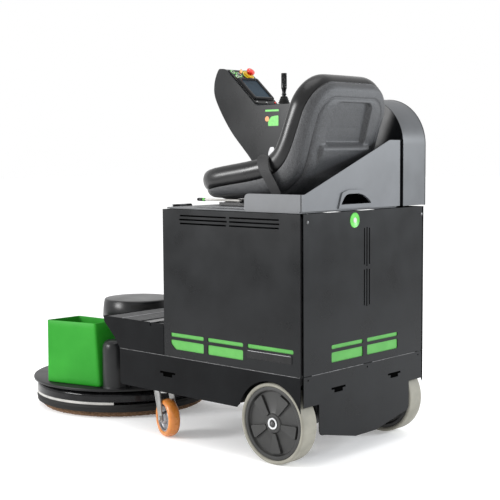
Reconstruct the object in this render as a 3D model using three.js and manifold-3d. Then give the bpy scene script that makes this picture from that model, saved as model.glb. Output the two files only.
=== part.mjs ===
// Ride-on battery floor burnisher, as a three.js scene of separate closed solids.
// Millimetres. +Z is up, +Y is the way it drives, +X is the operator's right.
// While building, Y counts from the rear panel and Z from the floor; the last group centres it.
import * as THREE from 'three';
import { mergeVertices } from 'three/addons/utils/BufferGeometryUtils.js';
import { ConvexGeometry } from 'three/addons/geometries/ConvexGeometry.js';
import Module from 'manifold-3d';

const wasm = await Module();
wasm.setup();

// ---------------------------------------------------------------- driving dimensions

// General
const sheet = 3; // thickness of the panels
const gap = 0.4; // between fitted pieces that do not move
const run = 0.6; // between pieces that move past each other

// Battery body
const bodyWidth = 762;
const bodyLength = 700;
const bodyTop = 914;

// Drive wheels
const driveWheelR = 150;
const tyreWidth = 80;
const tyreDepth = 14;
const wheelInset = 10; // outer face inboard of the body side
const wheelProud = 1; // how far the wheels reach behind the rear panel
const axleR = 20;

// Skirts and front deck
const seamZ = 2 * driveWheelR + 38;
const skirtBottom = driveWheelR + 40;
const rearSkirtBottom = driveWheelR + 78;
const skirtFront = bodyLength + 266;
const deckTop = seamZ + 124;
const noseFront = bodyLength + 366;
const archGap = 7;

// Casters
const casterR = 76;
const casterWidth = 46;
const casterTrail = 38;
const casterTurn = 19.4; // degrees that the casters are turned at rest
const casterX = bodyWidth / 2 - 61;
const casterY = bodyLength + 72;
const casterBoltR = 6;
const casterHeadroom = 48; // from the caster wheel to the chassis plate

// Burnishing head
const headY = bodyLength + 685;
const headPlateR = 405;
const headPlateZ = 120;
const headPlateT = 12;
const housingR = 390;
const housingBottom = 60;
const bandHeight = 12;
const skirtHeight = 38;
const padR = 356;
const padThickness = 25;
const padBottom = 2;
const spindleR = 20;
const headTravel = 50;

// Head drive
const motorOffset = 110; // motor axis behind the pad axis
const motorR = 100;
const motorHeight = 223;
const capR = 152;
const capHeight = 83;
const motorPulleyR = 34;
const padPulleyR = 52;
const beltHeight = 16;
const beltThickness = 5;

// Bin and dust fan on the head plate
const binHeight = 272;
const binWall = 3;
const fanR = 44;
const fanHeight = 206;

// Seat
const seatX = -80;
const seatWidth = 480;
const slideHalfSpread = 152;

// Console
const consoleWidth = 155;
const consoleRight = bodyWidth / 2 + 7;
const consoleTop = bodyTop + 417;

// Facets round a full circle
const facets = { huge: 40, large: 28, medium: 20, small: 12 };

// ---------------------------------------------------------------- derived places

const side = bodyWidth / 2;
const inner = side - sheet; // inner face of a side panel
const axleY = driveWheelR - wheelProud;
const baseZ = Math.max(skirtBottom + 10, 2 * casterR + casterHeadroom); // underside of the chassis plate
const baseTop = baseZ + 6;
const wheelOuter = side - wheelInset;
const wheelInner = wheelOuter - tyreWidth;
const wellWall = wheelInner - 14;
const wellTop = 2 * driveWheelR + 8;
const wellFront = axleY + driveWheelR + 18;
const shelfTop = wellTop + 8;
const plateTop = headPlateZ + headPlateT;
const consoleLeft = consoleRight - consoleWidth;
const deckRight = consoleLeft - 20; // right edge of the seat deck
const deckLeft = -(side - 8);
const lidZ = bodyTop + 1.5;
const lidTop = lidZ + 6;
const guardBottom = bodyTop + 8;
const hingeY = bodyLength - 2;
const hingeZ = bodyTop + 10;
const railX = 150;
const railY = skirtFront - 36;
const railWidth = 24;
const motorY = headY - motorOffset;
const motorBottom = plateTop + 45;
const capBottom = motorBottom + motorHeight + gap;

// ---------------------------------------------------------------- materials

const paint = (color, roughness, metalness) =>
  new THREE.MeshStandardMaterial({ color, roughness, metalness });
const charcoal = paint(0x2c2e30, 0.55, 0.3);
const frameBlack = paint(0x1b1c1d, 0.6, 0.3);
const plasticBlack = paint(0x1d1e20, 0.5, 0);
const rubberBlack = paint(0x161616, 0.85, 0);
const vinyl = paint(0x1a1a1b, 0.45, 0);
const grained = paint(0x3a3b3e, 0.7, 0);
const green = paint(0x44a83c, 0.45, 0);
const windowGreen = paint(0x6fd070, 0.35, 0);
const tyreGrey = paint(0xa09d8f, 0.8, 0);
const orange = paint(0xd9822e, 0.4, 0);
const zinc = paint(0xa9aaa5, 0.35, 0.9);
const chrome = paint(0xd8dadc, 0.12, 1);
const aluminium = paint(0xb9bbbd, 0.4, 0.9);
const white = paint(0xe6e4dc, 0.5, 0);
const brown = paint(0x5a4230, 0.95, 0);
const red = paint(0xd3241c, 0.35, 0);
const yellow = paint(0xe8c21a, 0.45, 0);
const screenBlue = paint(0x1e2a38, 0.2, 0);
const webbing = paint(0x2a2a2a, 0.8, 0);

// ---------------------------------------------------------------- solids

// A three.js geometry as a manifold solid, with its faces turned outwards.
function solid(geometry) {
  geometry.deleteAttribute('normal');
  geometry.deleteAttribute('uv');
  const merged = mergeVertices(geometry, 1e-4);
  const p = merged.attributes.position;
  const corners = merged.index.array;
  const kept = [];
  let volume = 0;
  const [a, b, c] = [new THREE.Vector3(), new THREE.Vector3(), new THREE.Vector3()];
  for (let i = 0; i < corners.length; i += 3) {
    const [ia, ib, ic] = corners.slice(i, i + 3);
    if (ia === ib || ib === ic || ic === ia) continue;
    kept.push(ia, ib, ic);
    a.fromBufferAttribute(p, ia);
    b.fromBufferAttribute(p, ib);
    c.fromBufferAttribute(p, ic);
    volume += a.dot(b.cross(c));
  }
  if (volume < 0) kept.reverse();
  return new wasm.Manifold(new wasm.Mesh({
    numProp: 3,
    vertProperties: new Float32Array(p.array),
    triVerts: new Uint32Array(kept),
  }));
}

const join = (...solids) => solids.reduce((sum, next) => sum.add(next));
const cut = (base, ...tools) => tools.reduce((rest, tool) => rest.subtract(tool), base);
const mirrored = (shape) => shape.mirror([1, 0, 0]);
const pair = (make) => [make(-1), make(1)];

function block([x0, x1], [y0, y1], [z0, z1]) {
  const geometry = new THREE.BoxGeometry(x1 - x0, y1 - y0, z1 - z0);
  return solid(geometry.translate((x0 + x1) / 2, (y0 + y1) / 2, (z0 + z1) / 2));
}

// A box of width w between x0 and x1 on one side of the centreline: hand is -1 or 1.
function sideBlock(hand, [x0, x1], y, z) {
  return block(hand > 0 ? [x0, x1] : [-x1, -x0], y, z);
}

// A closed outline. A corner given as [a, b, radius] is rounded.
function outline(points) {
  const shape = new THREE.Shape();
  const n = points.length;
  points.forEach(([x, y, r = 0], i) => {
    const corner = new THREE.Vector2(x, y);
    const before = new THREE.Vector2(...points[(i + n - 1) % n].slice(0, 2)).sub(corner);
    const after = new THREE.Vector2(...points[(i + 1) % n].slice(0, 2)).sub(corner);
    const start = corner.clone().add(before.setLength(r));
    const end = corner.clone().add(after.setLength(r));
    if (i === 0) shape.moveTo(start.x, start.y);
    else shape.lineTo(start.x, start.y);
    if (r > 0) shape.quadraticCurveTo(x, y, end.x, end.y);
  });
  shape.closePath();
  return shape;
}

// A flat outline given thickness along an axis, from low to high. The outline is drawn
// in (Y, Z) for axis x, in (X, Z) for axis y and in (X, Y) for axis z.
function plate(axis, shape, [low, high], curveSegments = 5) {
  const flat = Array.isArray(shape) ? outline(shape) : shape;
  const depth = high - low;
  const geometry = new THREE.ExtrudeGeometry(flat, { depth, bevelEnabled: false, curveSegments });
  const turn = new THREE.Matrix4();
  if (axis === 'x') turn.set(0, 0, 1, low, 1, 0, 0, 0, 0, 1, 0, 0, 0, 0, 0, 1);
  if (axis === 'y') turn.set(1, 0, 0, 0, 0, 0, -1, high, 0, 1, 0, 0, 0, 0, 0, 1);
  if (axis === 'z') turn.makeTranslation(0, 0, low);
  return solid(geometry.applyMatrix4(turn));
}

const alongAxis = { x: [0, 0, -Math.PI / 2], y: [0, 0, 0], z: [Math.PI / 2, 0, 0] };

// Turns geometry made about Y so that it stands about the given axis, then moves it.
function stand(geometry, axis, [x, y, z]) {
  const turn = new THREE.Matrix4().makeRotationFromEuler(new THREE.Euler(...alongAxis[axis]));
  return solid(geometry.applyMatrix4(turn).translate(x, y, z));
}

// A round bar along an axis through a point, from low to high along that axis.
function rod(axis, at, r, [low, high], segments = facets.medium) {
  const middle = [...at];
  middle['xyz'.indexOf(axis)] = (low + high) / 2;
  return stand(new THREE.CylinderGeometry(r, r, high - low, segments), axis, middle);
}

// A turned piece. The profile is a closed list of [radius, height along the axis].
function turned(axis, at, profile, segments = facets.medium) {
  const points = [...profile, profile[0]].map(([r, h]) => new THREE.Vector2(r, h));
  return stand(new THREE.LatheGeometry(points, segments), axis, at);
}

// A ring about the vertical, between two radii.
function ring(at, rIn, rOut, [low, high], segments = facets.huge) {
  return turned('z', [at[0], at[1], 0], [[rIn, low], [rOut, low], [rOut, high], [rIn, high]], segments);
}

const group = new THREE.Group();

function add(name, shape, material) {
  const { vertProperties, triVerts } = shape.getMesh();
  const geometry = new THREE.BufferGeometry();
  geometry.setAttribute('position', new THREE.BufferAttribute(new Float32Array(vertProperties), 3));
  geometry.setIndex(new THREE.BufferAttribute(new Uint32Array(triVerts), 1));
  const flat = geometry.toNonIndexed();
  flat.computeVertexNormals();
  const mesh = new THREE.Mesh(flat, material);
  mesh.name = name;
  group.add(mesh);
}

const handName = (hand) => (hand < 0 ? 'left' : 'right');

// ---------------------------------------------------------------- chassis

function chassis() {
  const wide = [-(side - 6), side - 6];
  const front = skirtFront - 11;
  let frame = join(
    block([-wellWall - 4, wellWall + 4], [12, wellFront + 4], [baseZ, baseTop]),
    block(wide, [wellFront, front], [baseZ, baseTop]),
    block([-wellWall, wellWall], [12, 20], [baseZ, shelfTop]),
    block([-wellWall, wellWall], [bodyLength - 60, bodyLength - 40], [baseZ, shelfTop]),
    block([-(side - 31), side - 31], [12, bodyLength - 40], [shelfTop - 4, shelfTop]),
    block([-(side - 131), side - 131], [railY - 26, railY - 18], [baseZ, deckTop - 22]),
  );
  const ringZ = [bodyTop - 18, bodyTop - 10];
  const postX = [side - 31, side - 11];
  for (const y of [10, bodyLength - 30]) {
    frame = frame.add(block([-(side - 31), side - 31], [y, y + 20], ringZ));
  }
  for (const hand of [-1, 1]) {
    frame = join(
      frame,
      sideBlock(hand, [wellWall, wellWall + 4], [12, wellFront + 4], [baseZ, shelfTop]),
      sideBlock(hand, [wellWall, side - 6], [12, wellFront + 4], [wellTop, shelfTop]),
      sideBlock(hand, [wellWall, side - 6], [wellFront, wellFront + 4], [baseZ, shelfTop]),
      sideBlock(hand, postX, [10, 30], [wellTop, bodyTop - 10]),
      sideBlock(hand, postX, [bodyLength - 30, bodyLength - 10], [baseZ, bodyTop - 10]),
      sideBlock(hand, postX, [10, bodyLength - 10], ringZ),
      sideBlock(hand, postX, [front - 22, front - 2], [baseZ, deckTop - 14]),
      guideRail(hand),
      rod('z', [hand * casterX, casterY, 0], 46, [baseZ - 14, baseTop], facets.medium),
    );
    frame = frame.subtract(rod('z', [hand * casterX, casterY, 0], 12 + run, [baseZ - 20, baseTop + 1]));
  }
  return frame;
}

// Square rail that guides the head up and down, on a web from the cross plate.
function guideRail(hand) {
  const z = [baseZ, deckTop - 30];
  const half = railWidth / 2;
  return join(
    sideBlock(hand, [railX - half, railX + half], [railY, railY + railWidth], z),
    sideBlock(hand, [railX - 4, railX + 4], [railY - 20, railY + 1], z),
  );
}

// ---------------------------------------------------------------- body panels

// Window rows: [start, end] along the side from the rear, above the seam.
const thinRow = { low: 80, high: 95, spans: [[35, 257], [278, 461], [482, 662]] };
const deepRow = { low: 31, high: 68, spans: [[278, 460], [482, 662]] };
const ventRows = [{ drop: 23, spans: [[101, 343], [360, 603]] },
  { drop: 38, spans: [[99, 343], [355, 607]] },
  { drop: 53, spans: [[101, 343], [360, 603]] }];
const ventHeight = 6;
const windowCorner = 6;

// Places along the side are stretched with the body so that the rows still fill it.
const along = (y) => (y * bodyLength) / 700;

function sidePanel() {
  const x = [-side, -inner];
  const through = [-side - 1, -inner + 1];
  let panel = block(x, [4, bodyLength], [seamZ + 1, bodyTop]);
  for (const { drop, spans } of ventRows) {
    for (const [y0, y1] of spans) {
      const z = [bodyTop - drop - ventHeight / 2, bodyTop - drop + ventHeight / 2];
      panel = panel.subtract(block(through, [along(y0), along(y1)], z));
    }
  }
  for (const row of [thinRow, deepRow]) {
    for (const [y0, y1] of row.spans) {
      const [a, b, low, high] = [along(y0), along(y1), seamZ + row.low, seamZ + row.high];
      const clipped = row === deepRow && y1 === 662;
      const r = windowCorner;
      const hole = clipped
        ? [[a, low, r], [b - 26, low, r], [b, low + 21, r], [b, high, r], [a, high, r]]
        : [[a, low, r], [b, low, r], [b, high, r], [a, high, r]];
      panel = panel.subtract(plate('x', hole, through, 3));
    }
  }
  return panel;
}

function rearPanel() {
  const half = inner - 12;
  let panel = block([-half, half], [0, sheet], [seamZ + 1, bodyTop]);
  for (const [z0, z1, slack] of [[373, 510, 6], [220, 355, 4]]) {
    for (const column of [-1, 0, 1]) {
      const x = 3 + column * 15.5;
      const extra = column === 0 ? slack : 0;
      const z = [seamZ + z0 - extra, seamZ + z1 + extra / 2];
      panel = panel.subtract(block([x - 3, x + 3], [-1, sheet + 1], z));
    }
  }
  for (const [x0, x1] of [[-208, -20], [6, 202]]) {
    for (const row of [thinRow, deepRow]) {
      const [low, high, r] = [seamZ + row.low, seamZ + row.high, windowCorner];
      const hole = [[x0, low, r], [x1, low, r], [x1, high, r], [x0, high, r]];
      panel = panel.subtract(plate('y', hole, [-1, sheet + 1], 3));
    }
  }
  return panel;
}

// T-shaped lifting slot: a bar with a narrower stem below it.
function teeSlot(axis, [a, b], [from, to], top) {
  const inset = (b - a) / 5;
  const bar = [[a, top - 8], [b, top - 8], [b, top], [a, top]];
  const stem = [[a + inset, top - 20], [b - inset, top - 20], [b - inset, top - 7], [a + inset, top - 7]];
  return join(plate(axis, bar, [from, to]), plate(axis, stem, [from, to]));
}

function sideSkirt() {
  const x = [-side, -inner];
  const skirt = plate('x', [
    [4, seamZ - 1], [4, skirtBottom], [skirtFront, skirtBottom, 16], [skirtFront, seamZ - 1],
  ], x);
  const archR = driveWheelR + archGap;
  return cut(
    skirt,
    rod('x', [0, axleY, driveWheelR], archR, [-side - 1, -inner + 1], facets.huge),
    plate('x', [
      [axleY, skirtBottom - 1], [axleY + archR + 5, skirtBottom - 1],
      [axleY + archR - 6, skirtBottom + 12], [axleY, skirtBottom + 12],
    ], [-side - 1, -inner + 1]),
    teeSlot('x', [bodyLength - 60, bodyLength + 26], [-side - 1, -inner + 1], seamZ - 64),
  );
}

function rearSkirt() {
  const half = inner - 12;
  const flap = wheelInner - 11;
  const low = driveWheelR - 78;
  const shape = [
    [-half, seamZ - 1], [-half, rearSkirtBottom], [-flap, rearSkirtBottom], [-flap, low + 39, 25],
    [-flap + 30, low + 39], [-65, low], [65, low], [flap - 30, low + 39],
    [flap, low + 39, 25], [flap, rearSkirtBottom], [half, rearSkirtBottom], [half, seamZ - 1],
  ];
  return cut(
    plate('y', shape, [0, sheet]),
    teeSlot('y', [-209, -126], [-1, sheet + 1], seamZ - 61),
    teeSlot('y', [140, 223], [-1, sheet + 1], seamZ - 61),
    ...[24 - half, 7, half - 24].map((x) => rod('y', [x, 0, seamZ - 14], 3.5, [-1, sheet + 1], 12)),
  );
}

// Deck sides and folded nose, one welded sheet.
function frontCowl() {
  const rearY = bodyLength + sheet;
  const [topZ, lowZ] = [deckTop, seamZ + 1];
  const nose = [
    [noseFront, topZ], [noseFront - 4, topZ - 23],
    [skirtFront + 31, lowZ + 40], [skirtFront + 1, lowZ],
  ];
  const sidePlate = plate('x', [[rearY, lowZ], ...[...nose].reverse(), [rearY, topZ]], [-side, -inner]);
  const notch = block([-side - 1, -inner + 1], [bodyLength + 74, bodyLength + 82], [topZ - 14, topZ + 1]);
  const back = nose.map(([y, z]) => [y - sheet, z]).reverse();
  const wrap = plate('x', [...nose, ...back], [-inner - 1, inner + 1]);
  return join(cut(sidePlate, notch), mirrored(cut(sidePlate, notch)), wrap);
}

// Folded panel: front wall of the battery body and the foot platform.
function stepPanel() {
  const floor = [deckTop - 12, deckTop - 12 + sheet];
  const half = inner - gap;
  let panel = join(
    block([-half, half], [bodyLength - sheet, bodyLength], [floor[0], bodyTop - gap]),
    block([-half, half], [bodyLength - sheet, noseFront - 12], floor),
    block([-half, half], [noseFront - 15, noseFront - 12], [floor[0], deckTop - 2]),
  );
  for (const hand of [-1, 1]) {
    panel = panel.add(sideBlock(hand, [half - 62, half - 58], [bodyLength + 20, noseFront - 40],
      [floor[1] - 1, floor[1] + 4]));
  }
  return panel;
}

function bodyPanels() {
  const panel = sidePanel();
  add('left_panel', panel, charcoal);
  add('right_panel', mirrored(panel), charcoal);
  add('rear_panel', rearPanel(), charcoal);
  add('step_panel', stepPanel(), charcoal);
  const skirt = sideSkirt();
  add('left_skirt', skirt, charcoal);
  add('right_skirt', mirrored(skirt), charcoal);
  add('rear_skirt', rearSkirt(), charcoal);
  add('front_cowl', frontCowl(), charcoal);
  const windowZ = [seamZ + 22, seamZ + 102];
  const pane = block([-inner + gap, -inner + gap + sheet], [22, bodyLength - 14], windowZ);
  add('left_window', pane, windowGreen);
  add('right_window', mirrored(pane), windowGreen);
  add('rear_window', block([-232, 226], [sheet + gap, 2 * sheet + gap], windowZ), windowGreen);
}

// Four batteries strapped in one tray.
function batteryPack() {
  const low = shelfTop + gap;
  const [halfX, y0, y1, top] = [side - 81, 60, bodyLength - 60, low + 244];
  let pack = block([-halfX, halfX], [y0, y1], [low, low + 30]);
  const middle = (y0 + y1) / 2;
  for (const hand of [-1, 1]) {
    for (const [a, b] of [[y0 + 8, middle - 4], [middle + 4, y1 - 8]]) {
      pack = pack.add(sideBlock(hand, [6, halfX - 8], [a, b], [low + 29, top]));
      for (const x of [50, halfX - 50]) {
        pack = pack.add(rod('z', [hand * x, a + 30, 0], 9, [top - 1, top + 18], 12));
      }
    }
  }
  return pack;
}

// ---------------------------------------------------------------- drive

function gearmotor(hand) {
  const at = [0, axleY, driveWheelR];
  const x = (a, b) => (hand > 0 ? [a, b] : [-b, -a]);
  return join(
    rod('x', at, 42, x(wellWall - 150, wellWall - 26), facets.medium),
    rod('x', at, 47, x(wellWall - 30, wellWall + 2), facets.medium),
    rod('x', at, axleR, x(wellWall, wheelOuter - 14), facets.medium),
    sideBlock(hand, [wellWall - 120, wellWall], [axleY - 34, axleY + 34],
      [driveWheelR + 20, baseZ - gap]),
  );
}

function tyre(hand) {
  const [r, rim, w] = [driveWheelR, driveWheelR - tyreDepth, tyreWidth / 2];
  const profile = [
    [rim, -w + 4], [r - 6, -w], [r - 1.5, -w + 3], [r, -w + 8],
    [r, w - 8], [r - 1.5, w - 3], [r - 6, w], [rim, w - 4],
  ];
  return turned('x', [hand * (wheelOuter - tyreWidth / 2), axleY, driveWheelR], profile, facets.large);
}

// Moulded rim: a hoop, a boss, a web between them and five fan-shaped paddles on each face.
function rim(hand) {
  const [centre, w] = [hand * (wheelOuter - tyreWidth / 2), tyreWidth / 2];
  const at = [centre, axleY, driveWheelR];
  const [outer, hub] = [driveWheelR - tyreDepth - gap, 34];
  const bore = axleR + run;
  const hoop = [[outer - 16, -w + 6], [outer, -w + 5], [outer, w - 5], [outer - 16, w - 6]];
  const boss = [[bore, -w + 8], [hub, -w + 8], [hub, w - 8], [bore, w - 8]];
  const web = [[hub - 2, -w + 14], [outer - 14, -w + 14], [outer - 14, w - 14], [hub - 2, w - 14]];
  const tip = outer - 24;
  const paddle = plate('x', [
    [-8, hub - 4], [8, hub - 4], [tip * 0.23, tip, 8], [-tip * 0.23, tip, 8],
  ], [-w + 8, w - 8], 3);
  let wheel = join(
    turned('x', at, hoop, facets.large),
    turned('x', at, boss),
    turned('x', at, web, facets.large),
  );
  for (let i = 0; i < 5; i += 1) {
    wheel = wheel.add(paddle.rotate([i * 72 + 29, 0, 0]).translate(at));
  }
  return wheel;
}

function hubCap(hand) {
  const face = wheelOuter - 8;
  const at = [hand * face, axleY, driveWheelR];
  const w = hand;
  return turned('x', at, [
    [0, gap * w], [24, gap * w], [24, 3 * w], [15, 4 * w], [14, 7 * w], [0, 8 * w],
  ]);
}

function driveWheels() {
  for (const hand of [-1, 1]) {
    const name = handName(hand);
    add(`${name}_gearmotor`, gearmotor(hand), frameBlack);
    add(`${name}_tyre`, tyre(hand), tyreGrey);
    add(`${name}_rim`, rim(hand), plasticBlack);
    add(`${name}_hub_cap`, hubCap(hand), chrome);
  }
}

// ---------------------------------------------------------------- casters

// Both are drawn about their swivel axis at the origin, trailing towards -Y.
function casterFork() {
  const top = baseZ - 14 - run;
  const leg = casterWidth / 2 + 5;
  const arm = outline([
    [-28, top, 4], [24, top, 4], [16, top - 26, 10],
    [-casterTrail + 14, casterR - 12, 10], [-casterTrail - 14, casterR - 12, 10],
    [-casterTrail - 14, casterR + 16, 8],
  ]);
  const head = casterR * 2 + 6;
  return join(
    rod('z', [0, 0, 0], 38, [Math.max(head, top - 10), top], facets.medium),
    rod('z', [0, 0, 0], 12, [top - 2, baseTop - 2], facets.small),
    block([-leg - 5, leg + 5], [-22, 22], [Math.max(head, top - 10), top - 2]),
    plate('x', arm, [leg, leg + 5]),
    plate('x', arm, [-leg - 5, -leg]),
    rod('x', [0, -casterTrail, casterR], casterBoltR, [-leg - 1, leg + 1], facets.small),
    rod('x', [0, -casterTrail, casterR], 10, [leg + 4, leg + 11], 6),
    rod('x', [0, -casterTrail, casterR], 10, [-leg - 11, -leg - 4], 6),
  );
}

function casterWheel() {
  const w = casterWidth / 2;
  const [r, hub, bore] = [casterR, 22, casterBoltR + run];
  const profile = [
    [bore, -w - 3], [hub, -w - 3], [hub + 4, -w + 9], [r - 24, -w + 9], [r - 20, -w],
    [r - 8, -w + 2], [r - 1.5, -w + 12], [r, 0], [r - 1.5, w - 12],
    [r - 8, w - 2], [r - 20, w], [r - 24, w - 9], [hub + 4, w - 9], [hub, w + 3], [bore, w + 3],
  ];
  return turned('x', [0, -casterTrail, casterR], profile);
}

function casters() {
  for (const hand of [-1, 1]) {
    const place = (shape) => shape.rotate([0, 0, -casterTurn]).translate([hand * casterX, casterY, 0]);
    add(`${handName(hand)}_caster_fork`, place(casterFork()), zinc);
    add(`${handName(hand)}_caster_wheel`, place(casterWheel()), orange);
  }
}

// ---------------------------------------------------------------- burnishing head

function headPlate() {
  const disc = rod('z', [0, headY, 0], headPlateR, [headPlateZ, plateTop], facets.huge);
  return disc.subtract(rod('z', [0, headY, 0], spindleR + 6, [headPlateZ - 1, plateTop + 1]));
}

// Round housing, open below, with a raised ring that bolts up to the plate.
function headHousing() {
  const top = headPlateZ - 8;
  const [r, wall, hole] = [housingR, 4, spindleR + 6];
  return turned('z', [0, headY, 0], [
    [hole, top], [190, top], [190, headPlateZ - gap], [206, headPlateZ - gap], [206, top],
    [r - 16, top], [r - 5, top - 5], [r, top - 16], [r, housingBottom + bandHeight],
    [r - wall, housingBottom + bandHeight], [r - wall, top - 18],
    [r - 20, top - wall], [hole, top - wall],
  ], facets.huge);
}

// Light edge band round the front of the housing, open behind.
function headBand() {
  const z = [housingBottom, housingBottom + bandHeight - gap];
  const band = ring([0, headY], housingR - 5, housingR + 1, z, facets.huge);
  const reach = housingR + 20;
  const wedge = outline([[0, 0], [-reach, -reach * 0.92], [-reach, -2 * reach], [reach, -2 * reach],
    [reach, -reach * 0.92]]);
  return band.subtract(plate('z', wedge, [z[0] - 1, z[1] + 1]).translate([0, headY, 0]));
}

function headSkirt() {
  const z = [housingBottom - skirtHeight, housingBottom - gap];
  return ring([0, headY], housingR - 8, housingR, z, facets.huge);
}

// Driver disc, spindle and driven pulley turn as one piece.
function padDriver() {
  const low = padBottom + padThickness + gap;
  const pulley = plateTop + 10;
  const flange = [padPulleyR + 6, spindleR];
  return turned('z', [0, headY, 0], [
    [0, low], [padR - 16, low], [padR - 16, low + 12], [90, low + 16], [60, low + 34],
    [spindleR, low + 38], [flange[1], pulley - 3], [flange[0], pulley - 3], [flange[0], pulley],
    [padPulleyR, pulley], [padPulleyR, pulley + beltHeight + 2], [flange[0], pulley + beltHeight + 2],
    [flange[0], pulley + beltHeight + 5], [14, pulley + beltHeight + 5], [0, pulley + beltHeight + 5],
  ], facets.large);
}

function burnishPad() {
  const top = padBottom + padThickness;
  return turned('z', [0, headY, 0], [
    [40, padBottom], [padR - 6, padBottom], [padR, padBottom + 6],
    [padR, top - 4], [padR - 5, top], [40, top],
  ], facets.large);
}

function motorPulley() {
  const low = plateTop + 7;
  const r = motorPulleyR;
  return turned('z', [0, motorY, 0], [
    [0, low], [r + 5, low], [r + 5, low + 3], [r, low + 3], [r, low + 5 + beltHeight],
    [r + 5, low + 5 + beltHeight], [r + 5, low + 8 + beltHeight], [10, low + 8 + beltHeight],
    [10, motorBottom + 14], [0, motorBottom + 14],
  ]);
}

// Path round both pulleys at a distance from their rims: arcs joined by their tangents.
function beltPath(out) {
  const [a, b] = [padPulleyR + out, motorPulleyR + out];
  const lean = Math.asin((a - b) / motorOffset);
  const shape = new THREE.Shape();
  shape.absarc(0, headY, a, -lean, Math.PI + lean, false);
  shape.absarc(0, motorY, b, Math.PI + lean, 2 * Math.PI - lean, false);
  return shape;
}

function driveBelt() {
  const z = [plateTop + 11, plateTop + 11 + beltHeight - 1];
  const through = [z[0] - 1, z[1] + 1];
  return plate('z', beltPath(run + beltThickness), z, 10)
    .subtract(plate('z', beltPath(run), through, 10));
}

function beltCover() {
  const z = [plateTop + gap, motorBottom - gap];
  const out = 28;
  const inside = plate('z', beltPath(out - sheet), [z[0] - 1, z[1] - sheet], 10);
  const hole = rod('z', [0, motorY, 0], 13, [z[0], z[1] + 1]);
  return cut(plate('z', beltPath(out), z, 10), inside, hole);
}

function headMotor() {
  const low = motorBottom;
  const top = motorBottom + motorHeight;
  let can = join(
    rod('z', [0, motorY, 0], motorR, [low, top], facets.large),
    rod('z', [0, motorY, 0], motorR + 16, [low, low + 10], facets.large),
  );
  for (let i = 0; i < 12; i += 1) {
    const fin = new THREE.BoxGeometry(motorR + 9, 7, motorHeight - 50);
    fin.translate((motorR + 9) / 2, 0, (low + top) / 2).rotateZ((i / 12) * 2 * Math.PI);
    can = can.add(solid(fin.translate(0, motorY, 0)));
  }
  return can.subtract(rod('z', [0, motorY, 0], 10 + run, [low - 1, low + 16]));
}

function motorCap() {
  const [low, top] = [capBottom, capBottom + capHeight];
  return turned('z', [0, motorY, 0], [
    [60, low], [capR + 3, low], [capR - 2, top - 8], [capR - 4, top - 3], [capR - 9, top],
    [0, top], [0, top - sheet], [capR - 10, top - sheet], [capR - 5, top - 9],
    [capR - sheet, low + sheet], [60, low + sheet],
  ], facets.large);
}

function dustFan() {
  const low = plateTop + gap;
  const top = plateTop + fanHeight;
  return turned('z', [fanX, fanY, 0], [
    [0, low], [fanR + 5, low], [fanR + 5, low + 6], [fanR, low + 7], [fanR, top - 14],
    [fanR - 4, top - 4], [fanR - 13, top], [0, top],
  ]);
}

const fanX = -256;
const fanY = headY - 250;

// Bin corners about the head axis: front outer, front inner, rear inner, rear outer.
const binFloor = [[-372, 72], [-186, 76], [-165, -196], [-306, -200]];
const binMouth = [[-359, 85], [-187, 77], [-165, -163], [-294, -165]];

// Moves each edge of a clockwise convex outline inwards by a distance.
function inset(points, distance) {
  const n = points.length;
  const edges = points.map((p, i) => {
    const q = points[(i + 1) % n];
    const length = Math.hypot(q[0] - p[0], q[1] - p[1]);
    const normal = [(q[1] - p[1]) / length, -(q[0] - p[0]) / length];
    return { normal, offset: normal[0] * p[0] + normal[1] * p[1] + distance };
  });
  return points.map((_, i) => {
    const a = edges[(i + n - 1) % n];
    const b = edges[i];
    const det = a.normal[0] * b.normal[1] - a.normal[1] * b.normal[0];
    return [
      (a.offset * b.normal[1] - b.offset * a.normal[1]) / det,
      (a.normal[0] * b.offset - b.normal[0] * a.offset) / det,
    ];
  });
}

function frustum(floor, mouth, [low, high]) {
  const at = (points, z) => points.map(([x, y]) => new THREE.Vector3(x, headY + y, z));
  return solid(new ConvexGeometry([...at(floor, low), ...at(mouth, high)]));
}

function bin() {
  const z = [plateTop + gap, plateTop + binHeight];
  const hollow = frustum(inset(binFloor, binWall), inset(binMouth, binWall), [z[0] + binWall, z[1] + 1]);
  return frustum(binFloor, binMouth, z).subtract(hollow);
}

// Shoes on the guide rails, an upright and a foot plate on top of the head plate.
function headCarriage() {
  const backY = railY + railWidth + 8;
  const reach = headY - headPlateR;
  const clear = railWidth / 2 + 1;
  const shoeZ = [baseTop + 9, baseTop + 79];
  let carriage = join(
    block([-170, 170], [backY, backY + 8], [plateTop + gap, shoeZ[1]]),
    block([-150, 150], [backY, reach + 140], [plateTop + gap, plateTop + 10]),
    block([-140, 140], [railY - 4, backY + 1], [shoeZ[0] + 15, shoeZ[0] + 43]),
  );
  for (const hand of [-1, 1]) {
    carriage = join(
      carriage,
      sideBlock(hand, [railX - 20, railX + 20], [railY - 8, backY + 1], shoeZ),
      plate('x', [[backY + 6, plateTop + 8], [reach + 130, plateTop + 8], [backY + 6, shoeZ[1] - 6]],
        hand > 0 ? [112, 120] : [-120, -112]),
    );
  }
  for (const hand of [-1, 1]) {
    const z = [shoeZ[0] - 1, shoeZ[1] + 1];
    carriage = cut(
      carriage,
      sideBlock(hand, [railX - clear, railX + clear], [railY - 1, railY + railWidth + 1], z),
      sideBlock(hand, [railX - 5, railX + 5], [railY - 9, railY], z),
    );
  }
  return carriage;
}

const actuatorY = railY + 10;
const rodFoot = baseTop + 9 + 43;

function liftActuator() {
  const z = [rodFoot + headTravel + 8, deckTop - 22];
  const body = join(
    rod('z', [0, actuatorY, 0], 22, z, facets.medium),
    block([-12, 12], [railY - 18 + gap, actuatorY], [z[0] + 20, z[1] - 10]),
  );
  return body.subtract(rod('z', [0, actuatorY, 0], 8 + run, [z[0] - 1, z[1] - 6], facets.small));
}

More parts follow.
